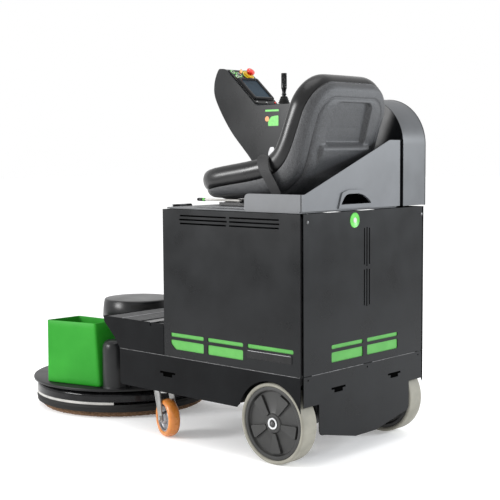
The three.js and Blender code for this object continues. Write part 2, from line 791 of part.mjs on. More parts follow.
function head() {
  add('head_plate', headPlate(), plasticBlack);
  add('head_housing', headHousing(), plasticBlack);
  add('head_band', headBand(), white);
  add('head_skirt', headSkirt(), rubberBlack);
  add('pad_driver', padDriver(), aluminium);
  add('burnish_pad', burnishPad(), brown);
  add('motor_pulley', motorPulley(), zinc);
  add('drive_belt', driveBelt(), rubberBlack);
  add('belt_cover', beltCover(), frameBlack);
  add('head_motor', headMotor(), frameBlack);
  add('motor_cap', motorCap(), plasticBlack);
  add('dust_fan', dustFan(), plasticBlack);
  add('green_bin', bin(), green);
  add('head_carriage', headCarriage(), frameBlack);
  add('lift_actuator', liftActuator(), frameBlack);
  const rodTop = deckTop - 22 - 6 - headTravel - 6;
  add('actuator_rod', rod('z', [0, actuatorY, 0], 8, [rodFoot + gap, rodTop], facets.small), zinc);
}

// ---------------------------------------------------------------- seat deck

const hingeXs = [deckLeft + 45, deckRight - 145];
const hingeLength = 100;

// Fixed half of a deck hinge: leaf, two outer knuckles and the pin.
function hinge(x0) {
  const at = [0, hingeY, hingeZ];
  const third = hingeLength / 3;
  const leafY = [bodyLength + gap, bodyLength + gap + 3];
  const knuckle = (a) => join(
    rod('x', at, 6, [a, a + third], facets.small),
    block([a, a + third], leafY, [bodyTop, hingeZ]),
  );
  return join(
    block([x0, x0 + hingeLength], leafY, [bodyTop - 34, bodyTop + 1]),
    knuckle(x0),
    knuckle(x0 + 2 * third),
    rod('x', at, 3, [x0, x0 + hingeLength], facets.small),
  );
}

// Tray that the seat is bolted to, with its side wing and the moving hinge knuckles.
function seatDeck() {
  const wingTop = bodyTop + 68;
  let deck = join(
    block([deckLeft + 6, deckRight - 6], [12, hingeY - 9], [lidZ, lidTop]),
    block([deckLeft, deckLeft + 10], [12, 270], [lidZ, lidTop + 3]),
    plate('x', [[7, guardBottom], [275, guardBottom], [275, wingTop, 25], [7, wingTop]],
      [deckLeft, deckLeft + sheet]),
    plinth(),
  );
  const third = hingeLength / 3;
  for (const x0 of hingeXs) {
    const x = [x0 + third + run, x0 + 2 * third - run];
    deck = join(
      deck,
      rod('x', [0, hingeY, hingeZ], 6, x, facets.small),
      block(x, [hingeY - 12, hingeY], [lidZ, lidZ + 5]),
      block(x, [hingeY - 12, hingeY - 3], [lidZ, hingeZ + 3]),
    );
    deck = deck.subtract(rod('x', [0, hingeY, hingeZ], 3 + run, [x0, x0 + hingeLength], facets.small));
  }
  return deck;
}

// Low raised pad under the seat slides.
function plinth() {
  const half = seatWidth / 2 - 10;
  return plate('x', [
    [90, lidTop - 1], [hingeY - 88, lidTop - 1], [hingeY - 138, lidTop + 6], [110, lidTop + 6],
  ], [seatX - half, seatX + half]);
}

// Upright guard behind the seat, with the hand hole for tilting the deck.
function rearGuard() {
  const top = bodyTop + 260;
  const wingTop = bodyTop + 68;
  const [left, right] = [deckLeft, deckRight];
  const plateOutline = [
    [left, guardBottom], [right, guardBottom], [right, top],
    [right - 67, top], [left + 16, wingTop], [left, wingTop],
  ];
  const [low, high] = [bodyTop + 26, bodyTop + 64];
  const handHole = (out) => outline([
    [-160 - out, low - out, 3], [21 + out, low - out, 3], [12 + out, low + 12, 8],
    [-22 + out / 2, high - 7 + out, 9], [-53, high + out, 9], [-119, high + out, 9],
    [-139 - out, high - 9 + out, 9],
  ]);
  return cut(
    join(
      plate('y', plateOutline, [0, sheet]),
      plate('y', handHole(14), [-6, 1]),
      block([left + 12, right - 12], [0, 30], [lidTop + gap, lidTop + gap + 3]),
    ),
    plate('y', handHole(0), [-7, sheet + 1]),
  );
}

function seatDeckPieces() {
  add('seat_deck', seatDeck(), charcoal);
  add('rear_guard', rearGuard(), charcoal);
  add('left_hinge', hinge(hingeXs[0]), frameBlack);
  add('right_hinge', hinge(hingeXs[1]), frameBlack);
}

// ---------------------------------------------------------------- seat

const slideZ = lidTop + 6 + gap;
const slideY = [190, 520];
const seatZ = slideZ + 27;

function slideLower() {
  const span = [seatX - slideHalfSpread, seatX + slideHalfSpread];
  const strap = (y) => block(span, [y, y + 30], [slideZ, slideZ + 3]);
  let frame = join(strap(230), strap(440));
  for (const hand of [-1, 1]) {
    const x = seatX + hand * slideHalfSpread;
    frame = join(frame, block([x - 18, x + 18], slideY, [slideZ, slideZ + 12]));
    frame = frame.subtract(block([x - 8, x + 8], [slideY[0] - 1, slideY[1] + 1], [slideZ + 4, slideZ + 13]));
  }
  return frame;
}

function slideUpper() {
  const z = slideZ + 12 + run;
  let frame = block([seatX - slideHalfSpread, seatX + slideHalfSpread], [240, 440], [z + 6, z + 13]);
  for (const hand of [-1, 1]) {
    const x = seatX + hand * slideHalfSpread;
    frame = join(
      frame,
      block([x - 16, x + 16], [slideY[0] + 20, slideY[1] - 30], [z, z + 13]),
      block([x - 7, x + 7], [slideY[0] + 20, slideY[1] - 30], [slideZ + 5, z + 1]),
    );
  }
  const ear = block([leverX - 9, seatX - slideHalfSpread - 10], [leverY - 9, leverY + 9], [z, z + 3]);
  return join(frame, ear, rod('z', [leverX, leverY, 0], 4, [z, leverZ + 4], facets.small));
}

const leverX = seatX - slideHalfSpread - 30;
const leverY = 400;
const leverZ = slideZ + 21;

// Release lever: a bar with a grip, on a boss that turns about an upright pin.
function slideLever() {
  const low = slideZ + 15 + 2 * run;
  const boss = rod('z', [leverX, leverY, 0], 9, [low, leverZ + 4], facets.small);
  const bar = rod('y', [leverX, 0, leverZ], 4.5, [leverY + 4, leverY + 190], facets.small);
  const grip = rod('y', [leverX, 0, leverZ], 6.5, [leverY + 185, leverY + 226], facets.small);
  const bore = rod('z', [leverX, leverY, 0], 4 + run, [low - 1, leverZ + 8], facets.small);
  return join(boss, bar, grip).subtract(bore);
}

const seatSide = (out = 0) => [seatX - seatWidth / 2 + out, seatX + seatWidth / 2 - out];

// Moulded pan and rear shell, in one piece.
function seatShell() {
  const z = (rise) => seatZ + rise;
  return plate('x', [
    [500, z(0), 12], [590, z(44), 14], [600, z(78), 6], [300, z(92), 4], [150, z(104), 40],
    [100, z(210), 20], [20, z(400), 6], [-32, z(425), 10], [-26, z(356), 30], [20, z(240), 30],
    [70, z(120), 40], [120, z(16), 40], [200, z(0), 10],
  ], seatSide(8), 6);
}

function seatCushion() {
  const z = (rise) => seatZ + rise;
  return plate('x', [
    [602, z(80), 8], [676, z(88), 18], [664, z(126), 20], [560, z(142), 20], [260, z(154), 14],
    [226, z(148), 10], [220, z(110), 10], [300, z(94), 4],
  ], seatSide(), 6);
}

function backCushion() {
  const z = (rise) => seatZ + rise;
  return plate('x', [
    [165, z(106), 20], [216, z(106), 20], [222, z(150), 20], [160, z(200), 30], [120, z(320), 30],
    [80, z(420), 40], [30, z(462), 20], [-30, z(462), 20],
    [-40, z(432), 8], [24, z(408), 6], [104, z(216), 20],
  ], seatSide(), 6);
}

// Lap strap over the near edge of the cushion, with its latch plate.
function seatBelt() {
  const x0 = seatSide()[0] - 3;
  const y = [228, 276];
  const strapTop = seatZ + 157;
  return join(
    block([x0, x0 + 2.5], y, [seatZ + 20, strapTop]),
    block([x0, x0 + 70], y, [strapTop - 2.5, strapTop]),
    block([x0 + 60, x0 + 66], [y[0] + 10, y[1] - 8], [strapTop - 2, strapTop + 46]),
  );
}

function seat() {
  add('seat_slide_lower', slideLower(), frameBlack);
  add('seat_slide_upper', slideUpper(), frameBlack);
  add('slide_lever', slideLever(), white);
  add('seat_shell', seatShell(), grained);
  add('seat_cushion', seatCushion(), vinyl);
  add('back_cushion', backCushion(), vinyl);
  add('seat_belt', seatBelt(), webbing);
}

// ---------------------------------------------------------------- console

const slopeFoot = [bodyLength + 63, consoleTop];
const slopeHead = [slopeFoot[0] + 182, consoleTop + 165];
const consoleBase = bodyTop + 5;

// Side outline of the console: rear quarter round, arm rest, screen slope, swept front.
function consoleOutline() {
  const shape = new THREE.Shape();
  const cornerR = 183;
  const rear = consoleTop + 8;
  shape.moveTo(0, consoleBase);
  shape.lineTo(bodyLength, consoleBase);
  shape.splineThru([
    new THREE.Vector2(bodyLength + 30, consoleTop - 330),
    new THREE.Vector2(bodyLength + 94, consoleTop - 233),
    new THREE.Vector2(bodyLength + 218, consoleTop - 102),
    new THREE.Vector2(bodyLength + 302, consoleTop + 28),
    new THREE.Vector2(bodyLength + 313, consoleTop + 100),
    new THREE.Vector2(slopeHead[0] + 43, slopeHead[1] + 3),
  ]);
  shape.lineTo(...slopeHead);
  shape.lineTo(...slopeFoot);
  shape.lineTo(cornerR, rear);
  shape.absarc(cornerR, rear - cornerR, cornerR, Math.PI / 2, Math.PI, false);
  return shape;
}

// The outline as a flat ring of points, moved inwards by a distance.
function consoleProfile(distance) {
  const points = consoleOutline().getPoints(8).map(({ x, y }) => [x, y]);
  return new wasm.CrossSection([points], 'NonZero').offset(-distance, 'Miter');
}

function consoleShell() {
  const raise = (section, [x0, x1]) => section.extrude(x1 - x0)
    .transform([0, 1, 0, 0, 0, 0, 1, 0, 1, 0, 0, 0, x0, 0, 0, 1]);
  const body = raise(consoleProfile(0), [consoleLeft, consoleRight]);
  const hollow = raise(consoleProfile(sheet), [consoleLeft + sheet, consoleRight - sheet]);
  const floor = block([consoleLeft + 20, consoleRight - 20], [60, bodyLength - 60],
    [consoleBase - 1, consoleBase + sheet + 1]);
  const well = rod('z', [stickX, stickY, 0], 20, [consoleTop - 20, consoleTop + 20], facets.medium);
  return cut(body, hollow, floor, well);
}

const stickX = consoleLeft + 77;
const stickY = bodyLength - 29;
const stickPivot = consoleTop - 8;

// Frame of the slope: s runs up the slope from its foot, t is out of its face.
const slopeVector = new THREE.Vector2(slopeHead[0] - slopeFoot[0], slopeHead[1] - slopeFoot[1]).normalize();
const slopeTilt = Math.atan2(slopeVector.y, slopeVector.x);

// Sets a piece that was drawn flat, with Y up the slope and Z out of it, onto the slope.
function onSlope(shape) {
  return shape.rotate([THREE.MathUtils.radToDeg(slopeTilt), 0, 0])
    .translate([0, slopeFoot[0], slopeFoot[1]]);
}

const bezelX = [consoleLeft + 8, consoleRight - 6];
const estopAt = [consoleRight - 42, 204];
const keyAt = [consoleLeft + 52, 204];

function screenBezel() {
  const frame = block(bezelX, [12, 236], [gap, 6]);
  const pocket = block([bezelX[0] + 12, bezelX[1] - 12], [48, 172], [3, 7]);
  return onSlope(cut(frame, pocket));
}

function screenGlass() {
  return onSlope(block([bezelX[0] + 12 + gap, bezelX[1] - 12 - gap], [48 + gap, 172 - gap], [3 + gap, 5.4]));
}

function estopBase() {
  return onSlope(turned('z', [...estopAt, 0], [[11, 6 + gap], [21, 6 + gap], [19, 14], [11, 14]]));
}

function estopButton() {
  return onSlope(turned('z', [...estopAt, 0], [
    [0, 12], [10, 12], [10, 20], [18, 21], [19, 26], [15, 33], [0, 34],
  ]));
}

function keySwitch() {
  const barrel = turned('z', [...keyAt, 0], [[0, 6 + gap], [9, 6 + gap], [9, 12], [7, 14], [0, 14]]);
  return onSlope(barrel.add(block([keyAt[0] - 1.5, keyAt[0] + 1.5], [keyAt[1] - 8, keyAt[1] + 8], [13, 32])));
}

// The gimbal ring tips fore and aft on its trunnions, and the stick tips sideways in the ring.
function joystickGimbal() {
  const at = [stickX, stickY, stickPivot];
  const hoop = turned('z', at, [[9, -6], [15, -6], [15, 6], [9, 6]], facets.medium);
  const trunnion = (a, b) => rod('x', at, 4, [stickX + a, stickX + b], facets.small);
  return join(hoop, trunnion(-30, -12), trunnion(12, 30));
}

// Stick and grip, with the rubber boot that skirts the hole.
function joystickStick() {
  return turned('z', [stickX, stickY, consoleTop], [
    [0, -14], [5, -14], [5, 11], [23, 11], [25, 14], [21, 16], [23, 20], [17, 25], [18, 29], [12, 34], [9, 40],
    [9, 60], [12, 66], [12, 134], [10, 137], [0, 137],
  ]);
}

function operatorConsole() {
  add('console_shell', consoleShell(), charcoal);
  add('screen_bezel', screenBezel(), plasticBlack);
  add('screen', screenGlass(), screenBlue);
  add('estop_base', estopBase(), yellow);
  add('estop_button', estopButton(), red);
  add('key_switch', keySwitch(), zinc);
  add('joystick_gimbal', joystickGimbal(), zinc);
  add('joystick_stick', joystickStick(), plasticBlack);
}

// ---------------------------------------------------------------- whole machine

add('chassis_frame', chassis(), frameBlack);
bodyPanels();
add('battery_pack', batteryPack(), plasticBlack);
driveWheels();
casters();
head();
seatDeckPieces();
seat();
operatorConsole();

// The origin goes to the middle of the footprint, on the floor.
const extent = new THREE.Box3().setFromObject(group);
group.position.set(-(extent.min.x + extent.max.x) / 2, -(extent.min.y + extent.max.y) / 2, -extent.min.z);

const machine = new THREE.Group();
machine.add(group);

export default machine;
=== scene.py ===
# %% [markdown]
# # A ride-on floor burnisher, dressed for its picture
# The machine is already modelled as exact parts that are packed in a frame. This file loads
# that frame, keeps each sheet-metal part where it is, gives every part a finish, and builds
# finer pieces for what the frame only sketches: seat, tyres, head, controls and small fittings.

import math
import random

import bmesh
import bpy
from mathutils import Matrix, Vector
from mathutils.kdtree import KDTree


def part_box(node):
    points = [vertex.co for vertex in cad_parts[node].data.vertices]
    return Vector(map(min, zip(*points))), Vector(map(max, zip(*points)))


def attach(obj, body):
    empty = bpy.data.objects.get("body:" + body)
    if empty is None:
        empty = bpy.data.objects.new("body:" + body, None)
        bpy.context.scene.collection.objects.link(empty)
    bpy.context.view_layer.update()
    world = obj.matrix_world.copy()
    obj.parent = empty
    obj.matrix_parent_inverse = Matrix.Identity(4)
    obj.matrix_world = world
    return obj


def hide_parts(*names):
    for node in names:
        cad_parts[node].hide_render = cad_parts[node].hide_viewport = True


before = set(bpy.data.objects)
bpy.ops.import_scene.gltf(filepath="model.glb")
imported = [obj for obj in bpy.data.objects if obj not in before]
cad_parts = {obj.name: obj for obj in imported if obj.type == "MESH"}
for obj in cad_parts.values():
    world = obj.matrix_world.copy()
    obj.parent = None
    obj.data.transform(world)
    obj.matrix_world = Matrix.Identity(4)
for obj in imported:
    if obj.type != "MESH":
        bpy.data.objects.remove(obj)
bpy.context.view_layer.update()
scene = bpy.context.scene
random.seed(7)

# %% [markdown]
# ## Camera
# A camera is placed by three facts: where it stands, which way it looks, and how long its lens
# is. This one stands low behind the left rear wheel with a long lens, so that upright edges
# stay nearly parallel. Azimuth and elevation turn into one direction, and the small roll is
# a turn about the line of sight.

# %% Make the camera
CAMERA_PLACE = Vector((-3.3800, -3.3945, 1.1277))
CAMERA_AZIMUTH = math.radians(-47.397)
CAMERA_ELEVATION = math.radians(4.905)
CAMERA_ROLL = math.radians(-0.367)
CAMERA_LENS = 81.31

backwards = Vector((
    math.sin(CAMERA_AZIMUTH) * math.cos(CAMERA_ELEVATION),
    -math.cos(CAMERA_AZIMUTH) * math.cos(CAMERA_ELEVATION),
    math.sin(CAMERA_ELEVATION),
))
aim = (-backwards).to_track_quat("-Z", "Y").to_matrix() @ Matrix.Rotation(CAMERA_ROLL, 3, "Z")
camera_data = bpy.data.cameras.new("camera")
camera_data.lens = CAMERA_LENS
camera_data.sensor_width = 36
camera_data.clip_end = 100
camera = bpy.data.objects.new("camera", camera_data)
camera.matrix_world = Matrix.Translation(CAMERA_PLACE) @ aim.to_4x4()
scene.collection.objects.link(camera)
scene.camera = camera

# %% [markdown]
# ## Millimetres and places
# The parts are drawn in millimetres, with y counted from the rear panel and z from the floor,
# because those are the numbers that a maker would measure. `at` turns such a place into a
# point of the frame. The rear panel's own box says where y starts.

# %% Places
MM = 0.001
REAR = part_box("rear_panel")[0].y


def at(x, y, z):
    """A place in millimetres as a point of the frame, in metres."""
    return Vector((x * MM, REAR + y * MM, z * MM))


def along(a, b, t):
    """The value a share t of the way from a to b."""
    return a + (b - a) * t


print("rear panel stands at y =", round(REAR, 4))

# %% [markdown]
# ## Finishes
# Every surface gets one Principled shader. What makes paint look like paint is small change:
# its colour and its roughness drift a little across the sheet, and fine bumps break up the
# reflection. `finish` builds that graph: one soft noise drives colour and roughness, and each
# entry in `bumps` adds one layer of relief, coarse first. Values that are the same all over
# are set on the shader itself.

# %% Finish builder
BUMP_NODES = {"noise": "ShaderNodeTexNoise", "cells": "ShaderNodeTexVoronoi", "waves": "ShaderNodeTexWave"}


def finish(name, deep, light, rough, metallic=0.0, cloud=7.0, bumps=(), **sockets):
    """A procedural material. deep and light are colours, rough is (least, most)."""
    material = bpy.data.materials.new(name)
    material.use_nodes = True
    tree = material.node_tree
    shader = tree.nodes["Principled BSDF"]
    shader.inputs["Metallic"].default_value = metallic
    for socket, value in sockets.items():
        shader.inputs[socket.replace("_", " ")].default_value = value
    place = tree.nodes.new("ShaderNodeTexCoord").outputs["Object"]
    drift = tree.nodes.new("ShaderNodeTexNoise")
    drift.inputs["Scale"].default_value = cloud
    drift.inputs["Detail"].default_value = 5
    tree.links.new(place, drift.inputs["Vector"])
    tint = tree.nodes.new("ShaderNodeValToRGB")
    tint.color_ramp.elements[0].position = 0.35
    tint.color_ramp.elements[1].position = 0.65
    tint.color_ramp.elements[0].color = (*deep, 1)
    tint.color_ramp.elements[1].color = (*light, 1)
    tree.links.new(drift.outputs["Fac"], tint.inputs["Fac"])
    tree.links.new(tint.outputs["Color"], shader.inputs["Base Color"])
    dull = tree.nodes.new("ShaderNodeMapRange")
    dull.inputs["From Min"].default_value = 0.3
    dull.inputs["From Max"].default_value = 0.7
    dull.inputs["To Min"].default_value = rough[0]
    dull.inputs["To Max"].default_value = rough[1]
    tree.links.new(drift.outputs["Fac"], dull.inputs["Value"])
    tree.links.new(dull.outputs["Result"], shader.inputs["Roughness"])
    last = None
    for kind, scale, strength, height in bumps:
        grain = tree.nodes.new(BUMP_NODES[kind])
        grain.inputs["Scale"].default_value = scale
        tree.links.new(place, grain.inputs["Vector"])
        relief = tree.nodes.new("ShaderNodeBump")
        relief.inputs["Strength"].default_value = strength
        relief.inputs["Distance"].default_value = height * MM
        tree.links.new(grain.outputs[0], relief.inputs["Height"])
        if last:
            tree.links.new(last.outputs["Normal"], relief.inputs["Normal"])
        last = relief
    if last:
        tree.links.new(last.outputs["Normal"], shader.inputs["Normal"])
    return material


# %% [markdown]
# ## Paint and metal
# The body is folded steel with a fine textured powder coat: near black, half matt, with a
# skin like orange peel. The frame inside wears a plainer coat. Bare metal has a fine grain and
# no paint, so its colour tints what it mirrors.

# %% Paints and metals
PEEL = [("noise", 60, 0.04, 0.5), ("noise", 900, 0.12, 0.1)]
charcoal = finish("charcoal powder coat", (0.0036, 0.0041, 0.0048), (0.0066, 0.0074, 0.0085),
                  (0.25, 0.34), bumps=PEEL, Specular_IOR_Level=0.17)
# A shaded copy of the body coat for the skirts and cowl: it reflects less, as painted shade for their low
# place near the floor.
shaded_charcoal = finish("painted shade powder coat", (0.004, 0.0042, 0.0048), (0.007, 0.0075, 0.0083),
                         (0.42, 0.54), bumps=PEEL, Specular_IOR_Level=0.06)
# A lit copy of the body coat for the seat deck and rear guard: far paler than the panels, as painted light
# on these upper sheets.
painted_light_charcoal = finish("painted light powder coat", (0.072, 0.076, 0.082), (0.10, 0.105, 0.113),
                       (0.40, 0.50), bumps=PEEL)
# A lit copy of the body coat for the console wrap, which shares its paint with the side plates: paler, as
# painted light on the faces that look up.
painted_light_wrap_charcoal = finish("painted light wrap coat", (0.046, 0.049, 0.053), (0.068, 0.072, 0.078),
                       (0.36, 0.48), bumps=PEEL)
painted_shadow_black = finish("shadow black", (0.001, 0.001, 0.001), (0.002, 0.002, 0.002), (0.9, 1.0),
                      bumps=PEEL, Specular_IOR_Level=0.0)
frame_black = finish("black powder coat", (0.006, 0.006, 0.0065), (0.012, 0.012, 0.013),
                     (0.45, 0.6), bumps=PEEL)
BRUSHED = [("noise", 500, 0.15, 0.1)]
zinc = finish("zinc plate", (0.29, 0.295, 0.29), (0.44, 0.44, 0.43), (0.28, 0.42), 1.0,
              cloud=14, bumps=BRUSHED)
chrome = finish("chrome", (0.56, 0.57, 0.58), (0.70, 0.71, 0.72), (0.08, 0.18), 1.0,
                cloud=10, bumps=[("noise", 300, 0.02, 0.05)])
aluminium = finish("cast aluminium", (0.26, 0.26, 0.27), (0.40, 0.40, 0.41), (0.42, 0.6), 1.0,
                   cloud=20, bumps=[("noise", 420, 0.35, 0.25)])
steel = finish("worn steel", (0.09, 0.09, 0.092), (0.17, 0.17, 0.172), (0.26, 0.4), 1.0,
               cloud=40, bumps=BRUSHED)
bronze = finish("bronze key", (0.30, 0.14, 0.06), (0.45, 0.22, 0.09), (0.3, 0.4), 1.0,
                cloud=60, bumps=BRUSHED)
print("metals and paints:", len(bpy.data.materials))

# %% [markdown]
# ## Rubber, plastic and cloth
# Plastics differ by their mould: the head and cap are lightly textured, the seat shell has
# a coarse grain like stipple, the bin is smooth and waxy. Vinyl is glossy with tiny pores.
# The tyre is a pale rubber that doesn't mark floors, the caster tread is clear orange.

# %% Plastics, rubbers and cloths
black_plastic = finish("black moulding", (0.006, 0.0063, 0.0067), (0.011, 0.0114, 0.012),
                       (0.34, 0.46), bumps=[("noise", 700, 0.25, 0.15)], Specular_IOR_Level=0.24)
cap_plastic = finish("cap moulding", (0.007, 0.0074, 0.008), (0.013, 0.0135, 0.0145),
                     (0.28, 0.38), bumps=[("noise", 600, 0.3, 0.15)], Specular_IOR_Level=0.26)
gloss_black = finish("gloss black", (0.004, 0.004, 0.0045), (0.008, 0.008, 0.009), (0.12, 0.2),
                     cloud=30, bumps=[("noise", 200, 0.03, 0.1)], Specular_IOR_Level=0.2)
black_rubber = finish("black rubber", (0.006, 0.006, 0.006), (0.013, 0.013, 0.0125), (0.6, 0.78),
                      bumps=[("noise", 350, 0.4, 0.3)], Specular_IOR_Level=0.25)
grained = finish("grained shell", (0.018, 0.019, 0.0205), (0.078, 0.080, 0.085), (0.36, 0.52),
                 cloud=330, bumps=[("noise", 45, 0.05, 0.6), ("cells", 380, 0.9, 0.7)],
                 Specular_IOR_Level=0.4)
rim_plastic = finish("rim moulding", (0.014, 0.014, 0.0135), (0.024, 0.024, 0.023), (0.42, 0.56),
                     cloud=24, bumps=[("noise", 500, 0.25, 0.15)])
vinyl = finish("black vinyl", (0.003, 0.003, 0.0034), (0.006, 0.006, 0.0066), (0.24, 0.34),
               cloud=9, bumps=[("noise", 14, 0.10, 3.0), ("cells", 650, 0.22, 0.2)],
               Specular_IOR_Level=0.34)
bin_green = finish("bin green", (0.011, 0.195, 0.010), (0.020, 0.245, 0.017), (0.36, 0.5),
                   cloud=5, bumps=[("noise", 30, 0.06, 1.0), ("noise", 500, 0.12, 0.1)],
                   Specular_IOR_Level=0.18)
# The green windows are no lamps: their faint emission is a painted glow.
glowing_window_green = finish("window green with painted glow", (0.072, 0.285, 0.056), (0.094, 0.335, 0.072), (0.28, 0.4),
                      cloud=12, bumps=[("noise", 260, 0.1, 0.1)], Specular_IOR_Level=0.2,
                      Emission_Color=(0.12, 0.5, 0.1, 1), Emission_Strength=0.03)
tyre_grey = finish("pale tyre rubber", (0.21, 0.202, 0.167), (0.272, 0.262, 0.22), (0.62, 0.8),
                   cloud=16, bumps=[("noise", 90, 0.12, 0.8), ("noise", 700, 0.35, 0.2)])
orange_tread = finish("orange tread", (0.46, 0.155, 0.026), (0.60, 0.215, 0.042), (0.22, 0.34),
                      cloud=18, bumps=[("noise", 120, 0.08, 0.3)], Subsurface_Weight=0.1)
band_grey = finish("pale edge band", (0.30, 0.295, 0.28), (0.42, 0.41, 0.39), (0.3, 0.42),
                   cloud=16, bumps=[("noise", 300, 0.08, 0.1)])
white_plastic = finish("off-white plastic", (0.42, 0.41, 0.385), (0.54, 0.525, 0.495), (0.35, 0.5),
                       cloud=12, bumps=[("noise", 300, 0.1, 0.1)])
signal_red = finish("signal red", (0.62, 0.018, 0.010), (0.78, 0.03, 0.018), (0.18, 0.28),
                    cloud=40, bumps=[("noise", 300, 0.05, 0.1)])
signal_yellow = finish("signal yellow", (0.70, 0.42, 0.01), (0.82, 0.55, 0.02), (0.3, 0.42),
                       cloud=40, bumps=[("noise", 300, 0.08, 0.1)])
label_green = finish("label green", (0.06, 0.42, 0.03), (0.10, 0.52, 0.06), (0.3, 0.42),
                     cloud=60, bumps=[("noise", 200, 0.06, 0.1)])
label_orange = finish("label orange", (0.62, 0.20, 0.03), (0.72, 0.27, 0.05), (0.3, 0.42),
                      cloud=60, bumps=[("noise", 200, 0.06, 0.1)])
glass_blue = finish("screen glass", (0.016, 0.027, 0.038), (0.026, 0.042, 0.058), (0.10, 0.16),
                    cloud=10, bumps=[("noise", 40, 0.01, 0.2)], Specular_IOR_Level=0.04)
fibre = finish("pad fibre", (0.07, 0.036, 0.016), (0.26, 0.15, 0.082), (0.85, 0.98), cloud=260,
               bumps=[("noise", 180, 0.9, 3.0), ("cells", 700, 0.8, 1.0)])
webbing = finish("woven webbing", (0.010, 0.010, 0.011), (0.022, 0.022, 0.023), (0.65, 0.8),
                 cloud=90, bumps=[("waves", 330, 0.7, 0.6), ("noise", 900, 0.4, 0.3)])
mat_rubber = finish("foot mat rubber", (0.016, 0.017, 0.018), (0.034, 0.035, 0.037), (0.5, 0.66),
                    cloud=40, bumps=[("cells", 230, 0.9, 1.2)])
print("finishes:", len(bpy.data.materials))

# %% [markdown]
# ## Shape helpers
# Three ways of making a mesh cover nearly every hard piece. `spin` turns a profile about an
# axis, like a lathe. `slab` gives an outline thickness, like cut sheet. `loft` joins rings of
# points, like plaster over ribs. Each gives a list of corners and a list of faces, so that
# they can be joined before they become one piece.

# %% Turning, cutting and lofting


def spin(profile, centre, axis=(0, 0, 1), segments=96):
    """Turns a closed profile of (radius, height) about an axis through a place."""
    a = Vector(axis).normalized()
    u = a.orthogonal().normalized()
    v = a.cross(u)
    middle, n = at(*centre), len(profile)
    corners = []
    for k in range(segments):
        t = 2 * math.pi * k / segments
        out = u * math.cos(t) + v * math.sin(t)
        corners += [middle + (out * r + a * h) * MM for r, h in profile]
    faces = []
    for k in range(segments):
        here, there = k * n, (k + 1) % segments * n
        faces += [(here + i, here + (i + 1) % n, there + (i + 1) % n, there + i) for i in range(n)]
    return corners, faces


def rounded(points, steps=6):
    """A flat outline; a corner given as (a, b, radius) becomes a curve."""
    result, n = [], len(points)
    for i, (a, b, *r) in enumerate(points):
        if not r:
            result.append((a, b))
            continue
        corner = Vector((a, b))
        before = corner + (Vector(points[i - 1][:2]) - corner).normalized() * r[0]
        after = corner + (Vector(points[(i + 1) % n][:2]) - corner).normalized() * r[0]
        for k in range(steps + 1):
            t = k / steps
            p = before * (1 - t) ** 2 + corner * 2 * t * (1 - t) + after * t * t
            result.append((p.x, p.y))
    return result


def slab(shape, axis, low, high):
    """An outline with thickness. It is drawn in YZ for axis x, XZ for y and XY for z."""
    lift = {
        "x": lambda a, b, h: at(h, a, b),
        "y": lambda a, b, h: at(a, h, b),
        "z": lambda a, b, h: at(a, b, h),
    }
    n = len(shape)
    corners = [lift[axis](a, b, low) for a, b in shape] + [lift[axis](a, b, high) for a, b in shape]
    sides = [(i, (i + 1) % n, n + (i + 1) % n, n + i) for i in range(n)]
    return corners, [tuple(range(n)), tuple(range(2 * n - 1, n - 1, -1)), *sides]


def bar(x, y, z):
    """A straight bar between three pairs of limits."""
    return slab([(x[0], y[0]), (x[1], y[0]), (x[1], y[1]), (x[0], y[1])], "z", *z)


def loft(rings, capped=True):
    """Skin over closed rings that all have the same number of points."""
    n = len(rings[0])
    corners = [p for ring in rings for p in ring]
    faces = []
    for k in range(len(rings) - 1):
        low, high = k * n, (k + 1) * n
        faces += [(low + i, low + (i + 1) % n, high + (i + 1) % n, high + i) for i in range(n)]
    if capped:
        last = (len(rings) - 1) * n
        faces += [tuple(range(n)), tuple(range(last + n - 1, last - 1, -1))]
    return corners, faces


def joined(*shapes):
    """Several shapes as one list of corners and one of faces."""
    corners, faces = [], []
    for more, around in shapes:
        faces += [tuple(i + len(corners) for i in face) for face in around]
        corners += more
    return corners, faces


def turned_by(shape, centre, axis, degrees):
    """A copy of a shape, turned about an axis through a place."""
    pivot = at(*centre)
    turn = Matrix.Rotation(math.radians(degrees), 3, Vector(axis))
    return [pivot + turn @ (p - pivot) for p in shape[0]], shape[1]


# %% [markdown]
# ## From corners to a piece
# Real edges are never sharp: a small bevel catches the light and tells the eye how thick the
# sheet is. After a bevel, weighted normals keep the flat faces flat. Round pieces get smooth
# shading instead, with their real corners kept sharp by angle. Each piece rides on a body of
# the frame, and names the frame parts that it stands for.

# %% Piece maker


def soften(obj, width, segments=2, angle=35):
    """Rounds the real edges of a piece, in millimetres."""
    bevel = obj.modifiers.new("edges", "BEVEL")
    bevel.width = width * MM
    bevel.segments = segments
    bevel.limit_method = "ANGLE"
    bevel.angle_limit = math.radians(angle)
    normals = obj.modifiers.new("flat faces", "WEIGHTED_NORMAL")
    normals.keep_sharp = True


def piece(name, shape, body, look, bevel=0, smooth=40, stands_for=()):
    """Makes a mesh object of a shape, and ties it to the frame."""
    mesh = bpy.data.meshes.new(name)
    mesh.from_pydata(*[shape[0], [], shape[1]])
    work = bmesh.new()
    work.from_mesh(mesh)
    bmesh.ops.remove_doubles(work, verts=work.verts, dist=1e-6)
    bmesh.ops.dissolve_degenerate(work, dist=1e-7, edges=work.edges)
    bmesh.ops.recalc_face_normals(work, faces=work.faces)
    work.to_mesh(mesh)
    work.free()
    mesh.polygons.foreach_set("use_smooth", [True] * len(mesh.polygons))
    mesh.materials.append(look)
    obj = bpy.data.objects.new(name, mesh)
    scene.collection.objects.link(obj)
    if bevel:
        soften(obj, bevel)
    else:
        mesh.set_sharp_from_angle(angle=math.radians(smooth))
    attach(obj, body)
    if stands_for:
        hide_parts(*stands_for)
    return obj


# %% [markdown]
# ## Sheet metal that is kept
# The panels, skirts, deck and frame already have the right shape. They only need an edge and
# a finish. Their faces are cut in triangles, so a planar merge comes first: then the bevel
# sees each real edge once. These are modifiers, so the frame's own meshes stay as they were.

# %% Dress the kept parts


